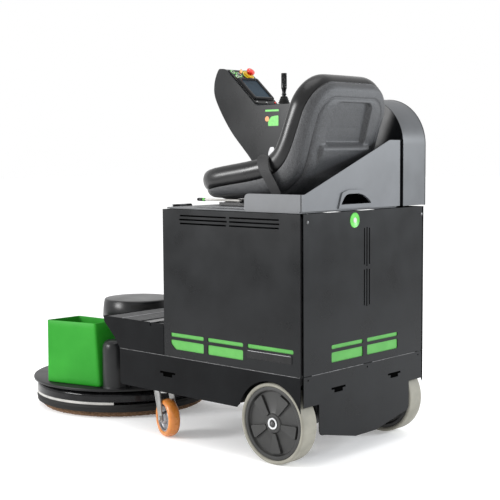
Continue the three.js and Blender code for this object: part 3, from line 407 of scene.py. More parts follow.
def dress(name, look, bevel=0.7):
    """Gives a frame part its finish and soft edges."""
    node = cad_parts[name]
    node.data.materials.clear()
    node.data.materials.append(look)
    node.data.polygons.foreach_set("use_smooth", [True] * len(node.data.polygons))
    weld = node.modifiers.new("weld", "WELD")
    weld.merge_threshold = 0.00002
    merge = node.modifiers.new("merge", "DECIMATE")
    merge.decimate_type = "DISSOLVE"
    merge.angle_limit = math.radians(0.5)
    soften(node, bevel)


KEPT = {
    charcoal: ["left_panel", "right_panel", "rear_panel", "step_panel", "rear_skirt"],
    shaded_charcoal: ["left_skirt", "right_skirt", "front_cowl"],
    painted_light_charcoal: ["seat_deck", "rear_guard"],
    frame_black: ["chassis_frame", "left_gearmotor", "right_gearmotor", "belt_cover", "head_motor",
                  "head_carriage", "lift_actuator", "left_hinge", "right_hinge", "seat_slide_lower",
                  "seat_slide_upper"],
    black_plastic: ["battery_pack"],
    zinc: ["motor_pulley", "actuator_rod", "joystick_gimbal"],
    aluminium: ["pad_driver"],
    black_rubber: ["drive_belt"],
    glowing_window_green: ["left_window", "right_window", "rear_window"],
}
for look, names in KEPT.items():
    for name in names:
        dress(name, look)
print("kept and dressed:", sum(len(names) for names in KEPT.values()))

# %% [markdown]
# ## Drive wheels
# A solid tyre on a moulded rim. The tyre is turned with rounded shoulders. The rim is a shallow
# dish with a hub and five fan-shaped paddles that stand off its web, and a chrome ring and
# a nut hold it on the axle.

# %% Drive wheel pieces
WHEEL_R = 150
WHEEL_Y = 149
WHEEL_X = 331


def both_faces(half):
    """A profile drawn on the outer face only, closed by its mirror image."""
    return half + [(r, -h) for r, h in reversed(half)]


TYRE = both_faces([(135.6, 30), (136, 36), (139, 38.6), (143.5, 40), (147, 38.8), (149.2, 35.5),
                   (150, 30)])
DISH = both_faces([(22, 31), (24, 32.5), (33, 32.5), (35, 31), (37, 27), (41, 25), (108, 22), (116, 22.5),
                   (119, 26), (120.5, 33), (123, 35.2), (131, 35.2), (134, 34.4), (135.2, 32)])


def paddle(hand, turn):
    """One paddle of the rim: a fan blade with rounded outer corners, steep at its sides."""
    foot = [(36, 9, 2), (112, 27, 9), (112, -27, 9), (36, -9, 2)]
    head = [(38, 7.5, 2), (110, 25, 9), (110, -25, 9), (38, -7.5, 2)]
    rings = []
    for shape, h in ((foot, 20), (head, 32.5)):
        rings.append([at(hand * (WHEEL_X + h), WHEEL_Y + b, WHEEL_R + a)
                      for a, b in rounded(shape, 4)])
    return turned_by(loft(rings), (hand * WHEEL_X, WHEEL_Y, WHEEL_R), (1, 0, 0), turn)


def hexagon(centre, axis, radius, low, high):
    """A six-sided nut with chamfered corners."""
    profile = [(0, low), (radius, low), (radius, high - 2), (radius - 2, high), (0, high)]
    return spin(profile, centre, axis, 6)


for hand, side in ((-1, "left"), (1, "right")):
    middle, out = (hand * WHEEL_X, WHEEL_Y, WHEEL_R), (hand, 0, 0)
    body = side + "_drive_wheel"
    piece(side + "_tyre_tread", spin(TYRE, middle, out, 160), body, tyre_grey,
          smooth=50, stands_for=[side + "_tyre"])
    paddles = [paddle(hand, 29 + 72 * k) for k in range(5)]
    across = Vector((hand * 2 * WHEEL_X * MM, 0, 0))
    inner = [([p + across for p in blade[0]], blade[1])
             for blade in (paddle(-hand, 29 + 72 * k) for k in range(5))]
    piece(side + "_rim_dish", spin(DISH, middle, out, 128), body, rim_plastic,
          smooth=30, stands_for=[side + "_rim"])
    piece(side + "_rim_paddles", joined(*paddles, *inner), body, rim_plastic, bevel=0.8)
    washer = [(14, 32.6), (22, 32.6), (22, 35), (20.5, 36.5), (16, 36.5), (14, 34.5)]
    piece(side + "_hub_washer", spin(washer, middle, out, 64), body, chrome,
          stands_for=[side + "_hub_cap"])
    plug = spin([(0, 32.6), (14, 32.6), (14, 34), (0, 34)], middle, out, 48)
    piece(side + "_hub_plug", plug, body, frame_black)
    stud = spin([(0, 38), (4.5, 38), (4.5, 40), (3.5, 41), (0, 41)], middle, out, 32)
    nut = joined(hexagon(middle, out, 8.5, 34, 38), stud)
    piece(side + "_hub_nut", nut, body, steel, bevel=0.5)
print("drive wheels: tyre", 2 * WHEEL_R, "mm across")

# %% [markdown]
# ## Casters
# Each caster has an aluminium core with a thick orange tread bonded round it. The fork is
# bent steel with zinc plate, and is kept from the frame. Both casters stand turned a little,
# as they are left after a turn.

# %% Caster pieces
CASTER_TURN = math.radians(-19.4)
CASTER_TRAIL = 38
CASTER_R = 76
CASTER_X = 320
CASTER_Y = 772
TREAD = both_faces([(54, 19), (56, 23), (62, 24.6), (69, 22.5), (73.5, 16.5), (75.6, 8.5), (76, 3)])
CORE = both_faces([(8, 26), (10, 26.5), (21, 26.5), (23, 24), (25, 12), (28, 9), (44, 9), (47, 12),
                   (49, 20), (54.5, 20)])
for hand, side in ((-1, "left"), (1, "right")):
    dress(side + "_caster_fork", zinc, 0.8)
    axle = (math.cos(CASTER_TURN), math.sin(CASTER_TURN), 0)
    middle = (hand * CASTER_X + CASTER_TRAIL * axle[1], CASTER_Y - CASTER_TRAIL * axle[0], CASTER_R)
    piece(side + "_caster_tread", spin(TREAD, middle, axle, 96), side + "_roller", orange_tread,
          smooth=50, stands_for=[side + "_caster_wheel"])
    piece(side + "_caster_core", spin(CORE, middle, axle, 96), side + "_roller", aluminium, smooth=30)
print("casters turned by", round(math.degrees(CASTER_TURN), 1), "degrees")

# %% [markdown]
# ## Burnishing head
# The head is a round steel plate over a moulded housing, with a light edge band round its
# front and a rubber skirt below. It is all turned about one upright axis. The pad is a disc
# of coarse fibre: its rim is drawn with a random ragged edge, so that it frays like felt.

# %% Plate, housing, band and skirt
HEAD_Y = 1385
PLATE = [(26, 120.3), (402.5, 120.3), (404.4, 121.5), (405, 124), (405, 128), (404.4, 130.6),
         (402.5, 132), (26, 132)]
HOUSING = [(26, 112), (190, 112), (190, 119.6), (206, 119.6), (206, 112), (372, 112), (380, 110.6),
           (386, 106.5), (389.2, 101), (390, 94), (390, 72), (386, 72), (386, 95), (370, 108), (26, 108)]
SKIRT = [(382, 29), (386, 27.8), (389.4, 29), (390, 32), (390, 44), (391.8, 46), (391.8, 49), (390, 51),
         (390, 59.6), (382, 59.6)]
hub = (0, HEAD_Y, 0)
piece("head_disc", spin(PLATE, hub, segments=200), "head", black_plastic, smooth=50,
      stands_for=["head_plate"])
piece("head_cover", spin(HOUSING, hub, segments=200), "head", gloss_black, smooth=45,
      stands_for=["head_housing"])
piece("head_lip", spin(SKIRT, hub, segments=200), "head", black_rubber, smooth=45,
      stands_for=["head_skirt"])
band_rings = []
for k in range(121):
    t = math.radians(along(-42.6, 222.6, k / 120))
    ring = rounded([(385.4, 60.2, 1), (391, 60.2, 2), (391, 71.4, 2), (385.4, 71.4, 1)], 3)
    band_rings.append([at(r * math.cos(t), HEAD_Y + r * math.sin(t), z) for r, z in ring])
piece("head_edge_band", loft(band_rings), "head", band_grey, smooth=50,
      stands_for=["head_band"])
print("head is", 2 * 405, "mm across")

# %% Pad and plate bolts
PAD = [(40, 2.6), (350, 2.4), (358, 3), (362, 6), (364, 11), (364, 20), (361, 25), (352, 27), (40, 27)]
STRANDS = 480
FRAY_FROM = 350
FRAY_BAND = 12
FRAY_REACH = 3.4
corners, faces = spin(PAD, hub, segments=STRANDS)
frayed = []
for p in corners:
    out = Vector((p.x, p.y - at(*hub).y, 0))
    edge = min(max(0.0, out.length / MM - FRAY_FROM) / FRAY_BAND, 1)
    wisp = random.uniform(-1, 1) * edge
    rise = random.uniform(-1.2, 2.6) * edge
    frayed.append(p + out.normalized() * wisp * FRAY_REACH * MM + Vector((0, 0, rise * MM)))
piece("burnishing_pad", (frayed, faces), "pad", fibre, smooth=180, stands_for=["burnish_pad"])
DOME_BOLT = [(0, 0), (9, 0), (9, 1.5), (7.5, 3.6), (4.5, 5), (0, 5.4)]
bolts = []
for k in range(8):
    t = 2 * math.pi * (k + 0.5) / 8
    bolts.append(spin(DOME_BOLT, (198 * math.cos(t), HEAD_Y + 198 * math.sin(t), 132), segments=24))
piece("head_bolts", joined(*bolts), "head", zinc, smooth=50)
print("pad rim has", STRANDS, "strands")

# %% [markdown]
# ## Motor cap and dust fan
# A round moulded cap sits over the drive motor. Its top overhangs the wall by a thin rolled
# rim. The wall is left whole: a black band at the rear stands for its cooling opening, as painted
# shade for the dark inside. The dust fan beside it is a plain upright can with a rounded top.

# %% Cap and fan pieces
CAP_Y = 1275
CAP = [(60, 400.6), (159, 400.6), (160, 402), (157.5, 440), (153.6, 470), (151.6, 473), (152, 476),
       (150.8, 479.5), (147, 482), (138, 483), (70, 484.2), (0, 484.6), (0, 480), (140, 479), (147, 470),
       (155, 404), (60, 404)]
cap_hub = (0, CAP_Y, 0)
piece("motor_hood", spin(CAP, cap_hub, segments=160), "head", cap_plastic, smooth=45,
      stands_for=["motor_cap"])
# A black band on the rear of the uncut cap wall: painted shade that stands for the dark inside of the
# cooling opening.
opening_shade_rings = []
for k in range(25):
    t = math.radians(along(216, 262, k / 24))
    opening_shade_rings.append([at(r * math.cos(t), CAP_Y + r * math.sin(t), z)
                       for r, z in ((150, 452), (157.2, 452), (154.6, 468), (150, 468))])
piece("motor_hood_opening_shade", loft(opening_shade_rings), "head", black_rubber, smooth=50)
FAN = [(0, 132.4), (57, 132.4), (57, 137), (56, 139), (55.5, 141), (56, 200), (55.5, 300), (53, 317),
       (48, 328), (39, 335.5), (28, 338), (0, 338.6)]
piece("dust_fan_can", spin(FAN, (-260, 1135, 0), segments=96), "head", cap_plastic,
      smooth=45, stands_for=["dust_fan"])
print("cap top is at", 484.6, "mm")

# %% [markdown]
# ## Bin
# The bin is a moulded tub with a thick wall, leaning sides and rounded corners. Its rings run
# up the outside, over the lip and down the inside. Rings that share their number of points
# join without a twist.

# %% Bin piece
BIN_FLOOR = [(-378, 74), (-190, 76), (-169, -198), (-312, -203)]
BIN_MOUTH = [(-366, 86), (-189, 77), (-168, -163), (-301, -168)]
BIN_LIP = [(401.5, 0), (403.6, 1), (404, 2.2), (403.4, 3.8), (401, 4.4)]


def shrunk(points, distance):
    """An outline pulled towards its middle."""
    cx = sum(p[0] for p in points) / len(points)
    cy = sum(p[1] for p in points) / len(points)
    return [(x - math.copysign(distance, x - cx), y - math.copysign(distance, y - cy)) for x, y in points]


def tub_ring(t, z, inset, radius=13):
    """One ring of the tub, a share t of the way from floor to mouth."""
    flat = [(along(a[0], b[0], t), along(a[1], b[1], t)) for a, b in zip(BIN_FLOOR, BIN_MOUTH)]
    return [at(x, HEAD_Y + y, z) for x, y in rounded([(x, y, radius) for x, y in shrunk(flat, inset)], 6)]


tub = [tub_ring(0, 132.6, 5), tub_ring(0, 134.5, 1.5), tub_ring(0.02, 139, 0)]
tub += [tub_ring(t / 10, 132.6 + t * 27.14, 0) for t in range(1, 10)]
tub += [tub_ring(1, z, inset) for z, inset in BIN_LIP]
tub += [tub_ring(t / 10, 136 + t * 26.4, 4.6) for t in range(9, 0, -1)]
tub += [tub_ring(0.02, 139, 5.5), tub_ring(0.01, 136.4, 9)]
piece("head_bin", loft(tub), "head", bin_green, smooth=60, stands_for=["green_bin"])
print("bin is 271 mm high")

# %% [markdown]
# ## Small fittings of the body
# Details that give a panel its scale: screws, a bright trim line between body and skirt,
# thick foot mats with a metal strip, hinge pins, a blank name plate and a round badge.
# The plate and badge carry no words or marks.

# %% Screws, trim and mats
SCREW = [(0, 0), (6.5, 0), (6.5, 1.2), (5.2, 2.6), (3, 3.3), (0, 3.5)]

rear_screws = joined(*[spin(SCREW, place, (0, -1, 0), 20) for place in ((-344, 0, 885), (360, 0, 884))])
piece("rear_screws", rear_screws, "chassis", steel, smooth=50)
for hand, side in ((-1, "left"), (1, "right")):
    trim = bar(sorted((hand * 380.4, hand * 382.2)), (6, 965), (336.6, 338.8))
    piece(side + "_seam_trim", trim, "chassis", steel, bevel=0.4)
for name, x in (("left", (-322, -18)), ("right", (36, 318))):
    piece("rear_seam_trim_" + name, bar(x, (-1.4, 0.4), (336.6, 338.8)), "chassis", steel, bevel=0.4)
for name, y in (("front", (962, 1048)), ("rear", (846, 950))):
    piece("foot_mat_" + name, bar((-372, 372), y, (453.1, 461)), "chassis", mat_rubber,
          bevel=2)
piece("foot_strip", bar((-372, 372), (952.5, 959.5), (453.1, 462)), "chassis", aluminium, bevel=1)
piece("foot_rear_strip", bar((-372, 372), (790, 843), (453.1, 458)), "chassis", steel, bevel=1)
print("mats are", 7.9, "mm thick")

# %% Name plate, badge and hinge pins
plate = slab(rounded([(41, 381, 3), (257, 381, 3), (257, 413, 3), (41, 413, 3)], 4), "x", -383, -380.6)
piece("blank_name_plate", plate, "chassis", gloss_black, bevel=0.5)
piece("name_plate_rule", bar((-383.5, -382.6), (46, 252), (408.2, 410)), "chassis", aluminium, bevel=0.3)
badge = (-73, 0, 880)
BADGE = [(0, 0), (28, 0), (28, 1), (26.5, 2.4), (24, 2.4), (23, 1.6), (0, 1.6)]
piece("rear_badge", spin(BADGE, badge, (0, -1, 0), 72), "chassis", label_green, smooth=40)
badge_centre = spin([(0, 1.6), (10, 1.6), (9.4, 2.6), (0, 2.8)], badge, (0, -1, 0), 48)
piece("rear_badge_centre", badge_centre, "chassis", white_plastic, smooth=40)
for name, x in (("left", -328), ("right", 68)):
    pin = spin([(0, -3), (4.4, -3), (4.4, 0), (3, 0.4), (3, 99.6), (4.4, 100), (4.4, 103), (0, 103)],
               (x, 698, 924), (1, 0, 0), 24)
    piece(name + "_hinge_pin", pin, "chassis", chrome, smooth=40)
# Black sheets behind the lifting slots in the side and rear skirts: painted shadow for the dark space inside
# the slots.
slot_backs = joined(bar((-377.6, -376), (634, 732), (248, 280)), bar((376, 377.6), (634, 732), (248, 280)),
                    bar((-215, -120), (3.4, 5), (250, 283)), bar((134, 229), (3.4, 5), (250, 283)))
piece("lifting_slot_shadow_backs", slot_backs, "chassis", painted_shadow_black, bevel=0.3)
print("badge is", 56, "mm across")

# %% [markdown]
# ## The line of the seat
# Seen from the side, shell and cushions meet on one curve that runs back along the pan and
# up the back. Everything on the seat is drawn on that curve: `on_seat` takes a place across
# the seat, a distance along the curve and a height off it, positive towards the shell.
# The curve is smoothed by cutting its corners, then measured so that distances are true.

# %% Seat curve
SEAT_X = -80
SEAM = [(624, 968), (590, 977), (541, 986), (440, 1003), (312, 1020), (225, 1037), (172, 1056),
        (128, 1096), (98, 1150), (74, 1208), (51, 1262), (29, 1316), (9, 1366), (-1, 1392)]
curve = SEAM
for _ in range(3):
    cut = [curve[0]]
    for a, b in zip(curve, curve[1:]):
        cut += [tuple(along(p, q, t) for p, q in zip(a, b)) for t in (0.25, 0.75)]
    curve = cut + [curve[-1]]
run = [0.0]
for a, b in zip(curve, curve[1:]):
    run.append(run[-1] + math.dist(a, b))
SEAT_RUN = run[-1]


def on_seat(x, v, h):
    """A place x across, v along the seam curve and h off it, as a point of the frame."""
    v = min(max(v, 0.001), SEAT_RUN - 0.001)
    k = next(i for i in range(1, len(run)) if run[i] >= v)
    t = (v - run[k - 1]) / (run[k] - run[k - 1])
    ahead = [curve[min(k + 1, len(curve) - 1)][i] - curve[max(k - 2, 0)][i] for i in (0, 1)]
    size = math.hypot(*ahead)
    y = along(curve[k - 1][0], curve[k][0], t) - ahead[1] / size * h
    z = along(curve[k - 1][1], curve[k][1], t) + ahead[0] / size * h
    return at(SEAT_X + x, y, z)


print("seat curve is", round(SEAT_RUN), "mm long")

# %% [markdown]
# ## Seat shell
# The shell is one moulding with a coarse grain. Its back is drawn as a height field: each
# point's depth depends on how far it is from the outline, so the rim rolls over in the same
# way all round. A fine groove follows the rim, and the back carries a shallow pocket with
# a ledge below it.

# %% Seat shell pieces
SHELL_HALF = 231
SHELL_START, SHELL_END = 22.0, SEAT_RUN - 14
FRONT_CORNER, TOP_CORNER = 142.0, 126.0
DEPTH = [(0, 0), (2, 9), (6, 18), (12, 26), (20, 32), (34, 36), (43, 38), (47, 34), (51, 39), (58, 43),
         (70, 45.5), (90, 47), (400, 47)]
FULLNESS = [(0, 0.7), (0.2, 1.0), (0.38, 1.35), (0.5, 1.72), (0.6, 1.6), (0.7, 1.15), (0.8, 0.95), (1, 0.8)]


def read(table, x):
    """A value read from a table of (place, value), drawn straight between its rows."""
    for (x0, y0), (x1, y1) in zip(table, table[1:]):
        if x <= x1:
            t = max(0.0, (x - x0) / (x1 - x0))
            return along(y0, y1, t)
    return table[-1][1]


def half_width(v, half, start, end, front, top):
    """Half the width of a rounded outline at v."""
    for gone, r in ((v - start, front), (end - v, top)):
        if gone < r:
            return half - r + math.sqrt(max(r * r - (r - gone) ** 2, 0))
    return half


def from_rim(x, v, half, start, end, front, top):
    """Distance inwards from a rounded outline."""
    near, r = (v - start, front) if v - start < end - v else (end - v, top)
    side = half - abs(x)
    if side < r and near < r:
        return r - math.hypot(r - side, r - near)
    return min(side, near)


def step(t):
    """A smooth step from 0 to 1."""
    t = min(max(t, 0), 1)
    return t * t * (3 - 2 * t)


SHELL = (SHELL_HALF, SHELL_START, SHELL_END, FRONT_CORNER, TOP_CORNER)
POCKET_X, POCKET_V = (-104, 104), (SEAT_RUN - 236, SEAT_RUN - 74)
POCKET_CORNER = 26
POCKET_DEPTH = 17
LEDGE_RISE = 15


def pocket(x, v):
    """Depth of the rounded pocket in the back of the shell, above a ledge that slopes out."""
    lean = (POCKET_V[1] - v) * 0.10
    side = min(x - POCKET_X[0] + lean, POCKET_X[1] + lean - x)
    near = min(v - POCKET_V[0], POCKET_V[1] - v)
    inside = min(side, near)
    if side < POCKET_CORNER and near < POCKET_CORNER:
        inside = POCKET_CORNER - math.hypot(POCKET_CORNER - side, POCKET_CORNER - near)
    below = POCKET_V[0] + 6 - v
    ledge = step(below / 15) * (1 - step((below - 17) / 80)) * step((POCKET_X[1] + 42 - abs(x)) / 12)
    return POCKET_DEPTH * step(inside / 6) - LEDGE_RISE * ledge


def shell_depth(x, v):
    """How far the back of the shell stands off the seam curve."""
    share = (v - SHELL_START) / (SHELL_END - SHELL_START)
    return read(DEPTH, from_rim(x, v, *SHELL)) * read(FULLNESS, share) - pocket(x, v)


def skin(rows, columns, depth):
    """A closed shell: a front sheet on the seam curve and a back sheet at a depth from it."""
    spread = [-math.cos(math.pi * i / columns) for i in range(columns + 1)]
    spread = [along(s, i * 2 / columns - 1, 0.62) for i, s in enumerate(spread)]
    runs = [(1 - math.cos(math.pi * j / rows)) / 2 for j in range(rows + 1)]
    runs = [along(r, j / rows, 0.72) for j, r in enumerate(runs)]
    corners, faces, wide = [], [], columns + 1
    for off in (lambda x, v: -1.5, depth):
        for r in runs:
            v = along(SHELL_START, SHELL_END, r)
            half = half_width(v, *SHELL)
            corners += [on_seat(s * half, v, off(s * half, v)) for s in spread]
    sheet = wide * (rows + 1)
    for j in range(rows):
        for i in range(columns):
            a = j * wide + i
            faces.append((a, a + 1, a + 1 + wide, a + wide))
            faces.append(tuple(sheet + k for k in (a, a + wide, a + 1 + wide, a + 1)))
    edge = [i for i in range(wide)] + [j * wide + columns for j in range(1, rows + 1)]
    edge += [rows * wide + i for i in range(columns - 1, -1, -1)]
    edge += [j * wide for j in range(rows - 1, 0, -1)]
    faces += [(a, b, sheet + b, sheet + a) for a, b in zip(edge, edge[1:] + edge[:1])]
    return corners, faces


piece("seat_back_shell", skin(230, 130, shell_depth), "seat", grained, smooth=75,
      stands_for=["seat_shell"])
print("shell is", 2 * SHELL_HALF, "mm wide")

# %% [markdown]
# ## Cushions
# A cushion is foam under vinyl: a fat roll round the edge, a sewn valley inside it, and
# a gently crowned middle. Its rings follow the same outline as the shell, each one further
# in and higher. The outline's rings are then evened out by a voxel remesh and blown up a
# little as cloth, with the seams held, which gives the skin its pull and its soft dents.

# %% Cushion rings
ROLL = [(64, 1), (22, 1.5), (10, 3), (2.5, 9), (-3, 19), (-5, 31), (-4, 43), (1, 54), (10, 62.5), (22, 66.5),
        (34, 66), (45, 61.5), (53, 55), (58, 51), (63, 52.5), (74, 58), (96, 63), (126, 66), (150, 67)]


def outline_ring(half, start, end, front, top, inset, height):
    """One ring of a cushion: a rounded outline, drawn inwards and lifted off the seam."""
    half, start, end = half - inset, start + inset, end - inset
    front, top = max(front - inset, 14), max(top - inset, 14)
    flat = []
    corners = ((half - top, end - top, top, 0), (-half + top, end - top, top, 90),
               (-half + front, start + front, front, 180), (half - front, start + front, front, 270))
    for i, (cx, cv, r, turn) in enumerate(corners):
        arc = [math.radians(turn + 90 * k / 10) for k in range(11)]
        flat += [(cx + r * math.cos(a), cv + r * math.sin(a)) for a in arc]
        nx, nv, nr, nturn = corners[(i + 1) % 4]
        begin = math.radians(nturn)
        a, b = flat[-1], (nx + nr * math.cos(begin), nv + nr * math.sin(begin))
        steps = 30 if i % 2 else 14
        flat += [(along(a[0], b[0], k / steps), along(a[1], b[1], k / steps)) for k in range(1, steps)]
    return [on_seat(x, v, -height) for x, v in flat]


def cushion(name, limits, lift, stands_for):
    """A cushion made from its rings, before it is blown up."""
    rings = [outline_ring(*limits, inset, height * lift) for inset, height in ROLL]
    return piece(name, loft(rings), "seat", vinyl, smooth=180, stands_for=stands_for)


SEAT_LIMITS, SEAT_LIFT = (232, 8, 428, 150, 46), 1.2
BACK_LIMITS, BACK_LIFT = (232, 398, SEAT_RUN - 6, 60, 124), 1.2
seat_pad = cushion("seat_base_cushion", SEAT_LIMITS, SEAT_LIFT, ["seat_cushion"])
back_pad = cushion("seat_back_cushion", BACK_LIMITS, BACK_LIFT, ["back_cushion"])
print("cushion rings:", len(ROLL))

# %% Blow the cushions up


def flattened(obj):
    """Replaces an object's mesh by what its modifiers make of it."""
    bpy.context.view_layer.update()
    mesh = bpy.data.meshes.new_from_object(obj.evaluated_get(bpy.context.evaluated_depsgraph_get()))
    obj.modifiers.clear()
    obj.data = mesh


def puff(obj, limits, lift, cap, voxel=6.5):
    """Remeshes a cushion evenly and inflates it as cloth; its seams stay where they are sewn."""
    remesh = obj.modifiers.new("even", "REMESH")
    remesh.mode = "VOXEL"
    remesh.voxel_size = voxel * MM
    flattened(obj)
    rest = [v.co.copy() for v in obj.data.vertices]
    sewn = []
    for inset, height in ((58, 51), (57, 51), (22, 1.5), (10, 3)):
        sewn += outline_ring(*limits, inset, height * lift)
    tree = KDTree(len(sewn))
    for i, p in enumerate(sewn):
        tree.insert(p, i)
    tree.balance()
    held = obj.vertex_groups.new(name="held")
    for i, p in enumerate(rest):
        if tree.find(p)[2] < 7 * MM:
            held.add([i], 1.0, "REPLACE")
    cloth = obj.modifiers.new("cloth", "CLOTH")
    cloth.settings.use_pressure = True
    cloth.settings.uniform_pressure_force = 4
    cloth.settings.vertex_group_mass = "held"
    cloth.settings.effector_weights.gravity = 0
    cloth.settings.quality = 4
    cloth.settings.tension_stiffness = 25
    cloth.settings.compression_stiffness = 25
    for frame_number in range(1, 21):
        scene.frame_set(frame_number)
    blown = obj.evaluated_get(bpy.context.evaluated_depsgraph_get()).data
    moved = [v.co.copy() for v in blown.vertices]
    obj.modifiers.remove(cloth)
    scene.frame_set(1)
    most = 0.0
    for vertex, a, b in zip(obj.data.vertices, rest, moved):
        way = b - a
        if way.length > cap * MM:
            way *= cap * MM / way.length
        most = max(most, way.length)
        vertex.co = a + way
    return most / MM


for pad, limits, lift in ((seat_pad, SEAT_LIMITS, SEAT_LIFT), (back_pad, BACK_LIMITS, BACK_LIFT)):
    print(pad.name, "moved by up to", round(puff(pad, limits, lift, 7), 1), "mm")
    smooth = pad.modifiers.new("smooth", "SUBSURF")
    smooth.levels = smooth.render_levels = 1
    pad.data.polygons.foreach_set("use_smooth", [True] * len(pad.data.polygons))

# %% [markdown]
# ## Piping and belt
# A thin cord of vinyl is sewn where cushion and shell meet. The lap belt is flat webbing that
# comes up from the shell, goes over the edge roll and ends in a metal tongue, with a buckle on
# the other side. Flat straps are swept directly, since a remesh would swallow them.

# %% Piping, belt and buckle


def swept(path, half_wide, thick, across):
    """A flat band along a path; across gives the direction of its width."""
    section = [(-half_wide, 0), (-half_wide, thick), (0, thick), (half_wide, thick), (half_wide, 0), (0, 0)]
    rings = []
    for i, p in enumerate(path):
        ahead = (path[min(i + 1, len(path) - 1)] - path[max(i - 1, 0)]).normalized()
        wide = (across - ahead * across.dot(ahead)).normalized()
        up = wide.cross(ahead)
        rings.append([p + (wide * s + up * h) * MM for s, h in section])
    return loft(rings)


def tube(path, radius, sides=10):
    """A round bar along a path."""
    rings = []
    for i, p in enumerate(path):
        ahead = (path[min(i + 1, len(path) - 1)] - path[max(i - 1, 0)]).normalized()
        u = ahead.orthogonal().normalized()
        if rings:
            u = (rings[-1][0] - path[i - 1])
            u = (u - ahead * u.dot(ahead)).normalized()
        w = ahead.cross(u)
        rings.append([p + (u * math.cos(a) + w * math.sin(a)) * radius * MM
                      for a in (2 * math.pi * k / sides for k in range(sides))])
    return loft(rings)


def smooth_path(points, rounds=3):
    """Cuts the corners of a path a few times over."""
    for _ in range(rounds):
        cut = [points[0]]
        for a, b in zip(points, points[1:]):
            cut += [a.lerp(b, 0.25), a.lerp(b, 0.75)]
        points = cut + [points[-1]]
    return points


BELT = [(-308, 172, 976), (-316, 180, 1000), (-322, 190, 1024), (-330, 203, 1050), (-333, 214, 1076),
        (-330, 222, 1098), (-318, 228, 1112), (-300, 231, 1118), (-280, 232, 1116), (-262, 232, 1110)]
for hand, side in ((-1, "left"), (1, "right")):
    mirror = [at(x if hand < 0 else 2 * SEAT_X - x, y, z) for x, y, z in BELT]
    strap = swept(smooth_path(mirror), 24, 1.8 * hand, Vector((0, 1, 0.12)))
    piece(side + "_lap_belt", strap, "seat", webbing, smooth=60,
          stands_for=["seat_belt"] if hand < 0 else [])
TONGUE = [(212, 1104, 4), (252, 1104, 4), (250, 1128, 6), (240, 1150, 6), (222, 1150, 6), (214, 1128, 6)]
TONGUE_GRIP = [(208, 1098, 5), (256, 1098, 5), (254, 1118, 5), (210, 1118, 5)]
BUCKLE = [(206, 1104, 6), (256, 1104, 6), (252, 1160, 9), (210, 1160, 9)]
piece("belt_tongue", slab(rounded(TONGUE, 4), "x", -268, -264), "seat", steel, bevel=1)
piece("belt_tongue_grip", slab(rounded(TONGUE_GRIP, 4), "x", -271, -261), "seat", gloss_black, bevel=2)
piece("belt_buckle", slab(rounded(BUCKLE, 4), "x", 96, 116), "seat", gloss_black, bevel=4)
piece("belt_buckle_button", bar((101, 111), (217, 246), (1158, 1164)), "seat", signal_red, bevel=1.5)
welt = [outline_ring(*SEAT_LIMITS, 9, 1.5), outline_ring(*BACK_LIMITS, 9, 1.5)]
for name, ring in zip(("base", "back"), welt):
    piece("seat_welt_" + name, tube(ring + ring[:1], 2.6), "seat", vinyl, smooth=80)
print("belt webbing is", 48, "mm wide")

# %% [markdown]
# ## Slide lever
# An off-white rod with a green ring and a black tip, on a boss that turns about an upright
# pin. It stands for the frame's own lever and turns with it.

# %% Lever pieces
lever_low, lever_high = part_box("slide_lever")
LEVER_X = -262
LEVER_Z = 948.9
BOSS = [(4.8, -3.5), (8.6, -3.5), (9, -3), (9, 3.4), (8.6, 3.8), (4.8, 3.8)]
boss = spin(BOSS, (LEVER_X, 400, LEVER_Z), segments=40)
shaft = spin([(0, 0), (4.4, 0), (4.4, 190), (0, 190)], (LEVER_X, 406, LEVER_Z), (0, 1, 0), 32)
piece("lever_rod", joined(boss, shaft), "lever", white_plastic, smooth=40,
      stands_for=["slide_lever"])
ring = spin([(0, 0), (6, 0), (6.6, 1), (6.6, 9), (6, 10), (0, 10)], (LEVER_X, 584, LEVER_Z), (0, 1, 0), 32)
piece("lever_ring", ring, "lever", label_green, smooth=40)
TIP = [(0, 0), (5.6, 0), (6.4, 2), (6.4, 26), (5.4, 30), (3, 32), (0, 32)]
tip = spin(TIP, (LEVER_X, 594, LEVER_Z), (0, 1, 0), 32)
piece("lever_tip", tip, "lever", gloss_black, smooth=40)
print("lever is", round((lever_high - lever_low).y / MM), "mm long")

# %% [markdown]
# ## Console
# The console is a folded box: two side plates and one wrap that runs between them, round the
# rear corner, along the arm rest, up the screen slope and over the swept front. The plates
# stand a hair proud of the wrap, so that a thin joint line shows, as it does where sheets
# are welded and painted together.

# %% Console shell
SIDE = 381
TOP = 914
CONSOLE_RIGHT = SIDE + 7
CONSOLE_LEFT = CONSOLE_RIGHT - 155
CONSOLE_TOP = TOP + 417
SLOPE_FOOT = (763, CONSOLE_TOP)
SLOPE_HEAD = (945, CONSOLE_TOP + 165)
FRONT = [(700, TOP + 5), (730, CONSOLE_TOP - 330), (794, CONSOLE_TOP - 233), (918, CONSOLE_TOP - 102),
         (1002, CONSOLE_TOP + 28), (1013, CONSOLE_TOP + 100), (988, CONSOLE_TOP + 168)]


def spline(points, steps=14):
    """A smooth curve through points."""
    result = []
    padded_points = [points[0], *points, points[-1]]
    for p0, p1, p2, p3 in zip(padded_points, padded_points[1:], padded_points[2:], padded_points[3:]):
        for k in range(steps):
            t = k / steps
            result.append(tuple(
                0.5 * (2 * b + (c - a) * t + (2 * a - 5 * b + 4 * c - d) * t * t
                       + (3 * b - a - 3 * c + d) * t ** 3)
                for a, b, c, d in zip(p0, p1, p2, p3)))
    return result + [points[-1]]


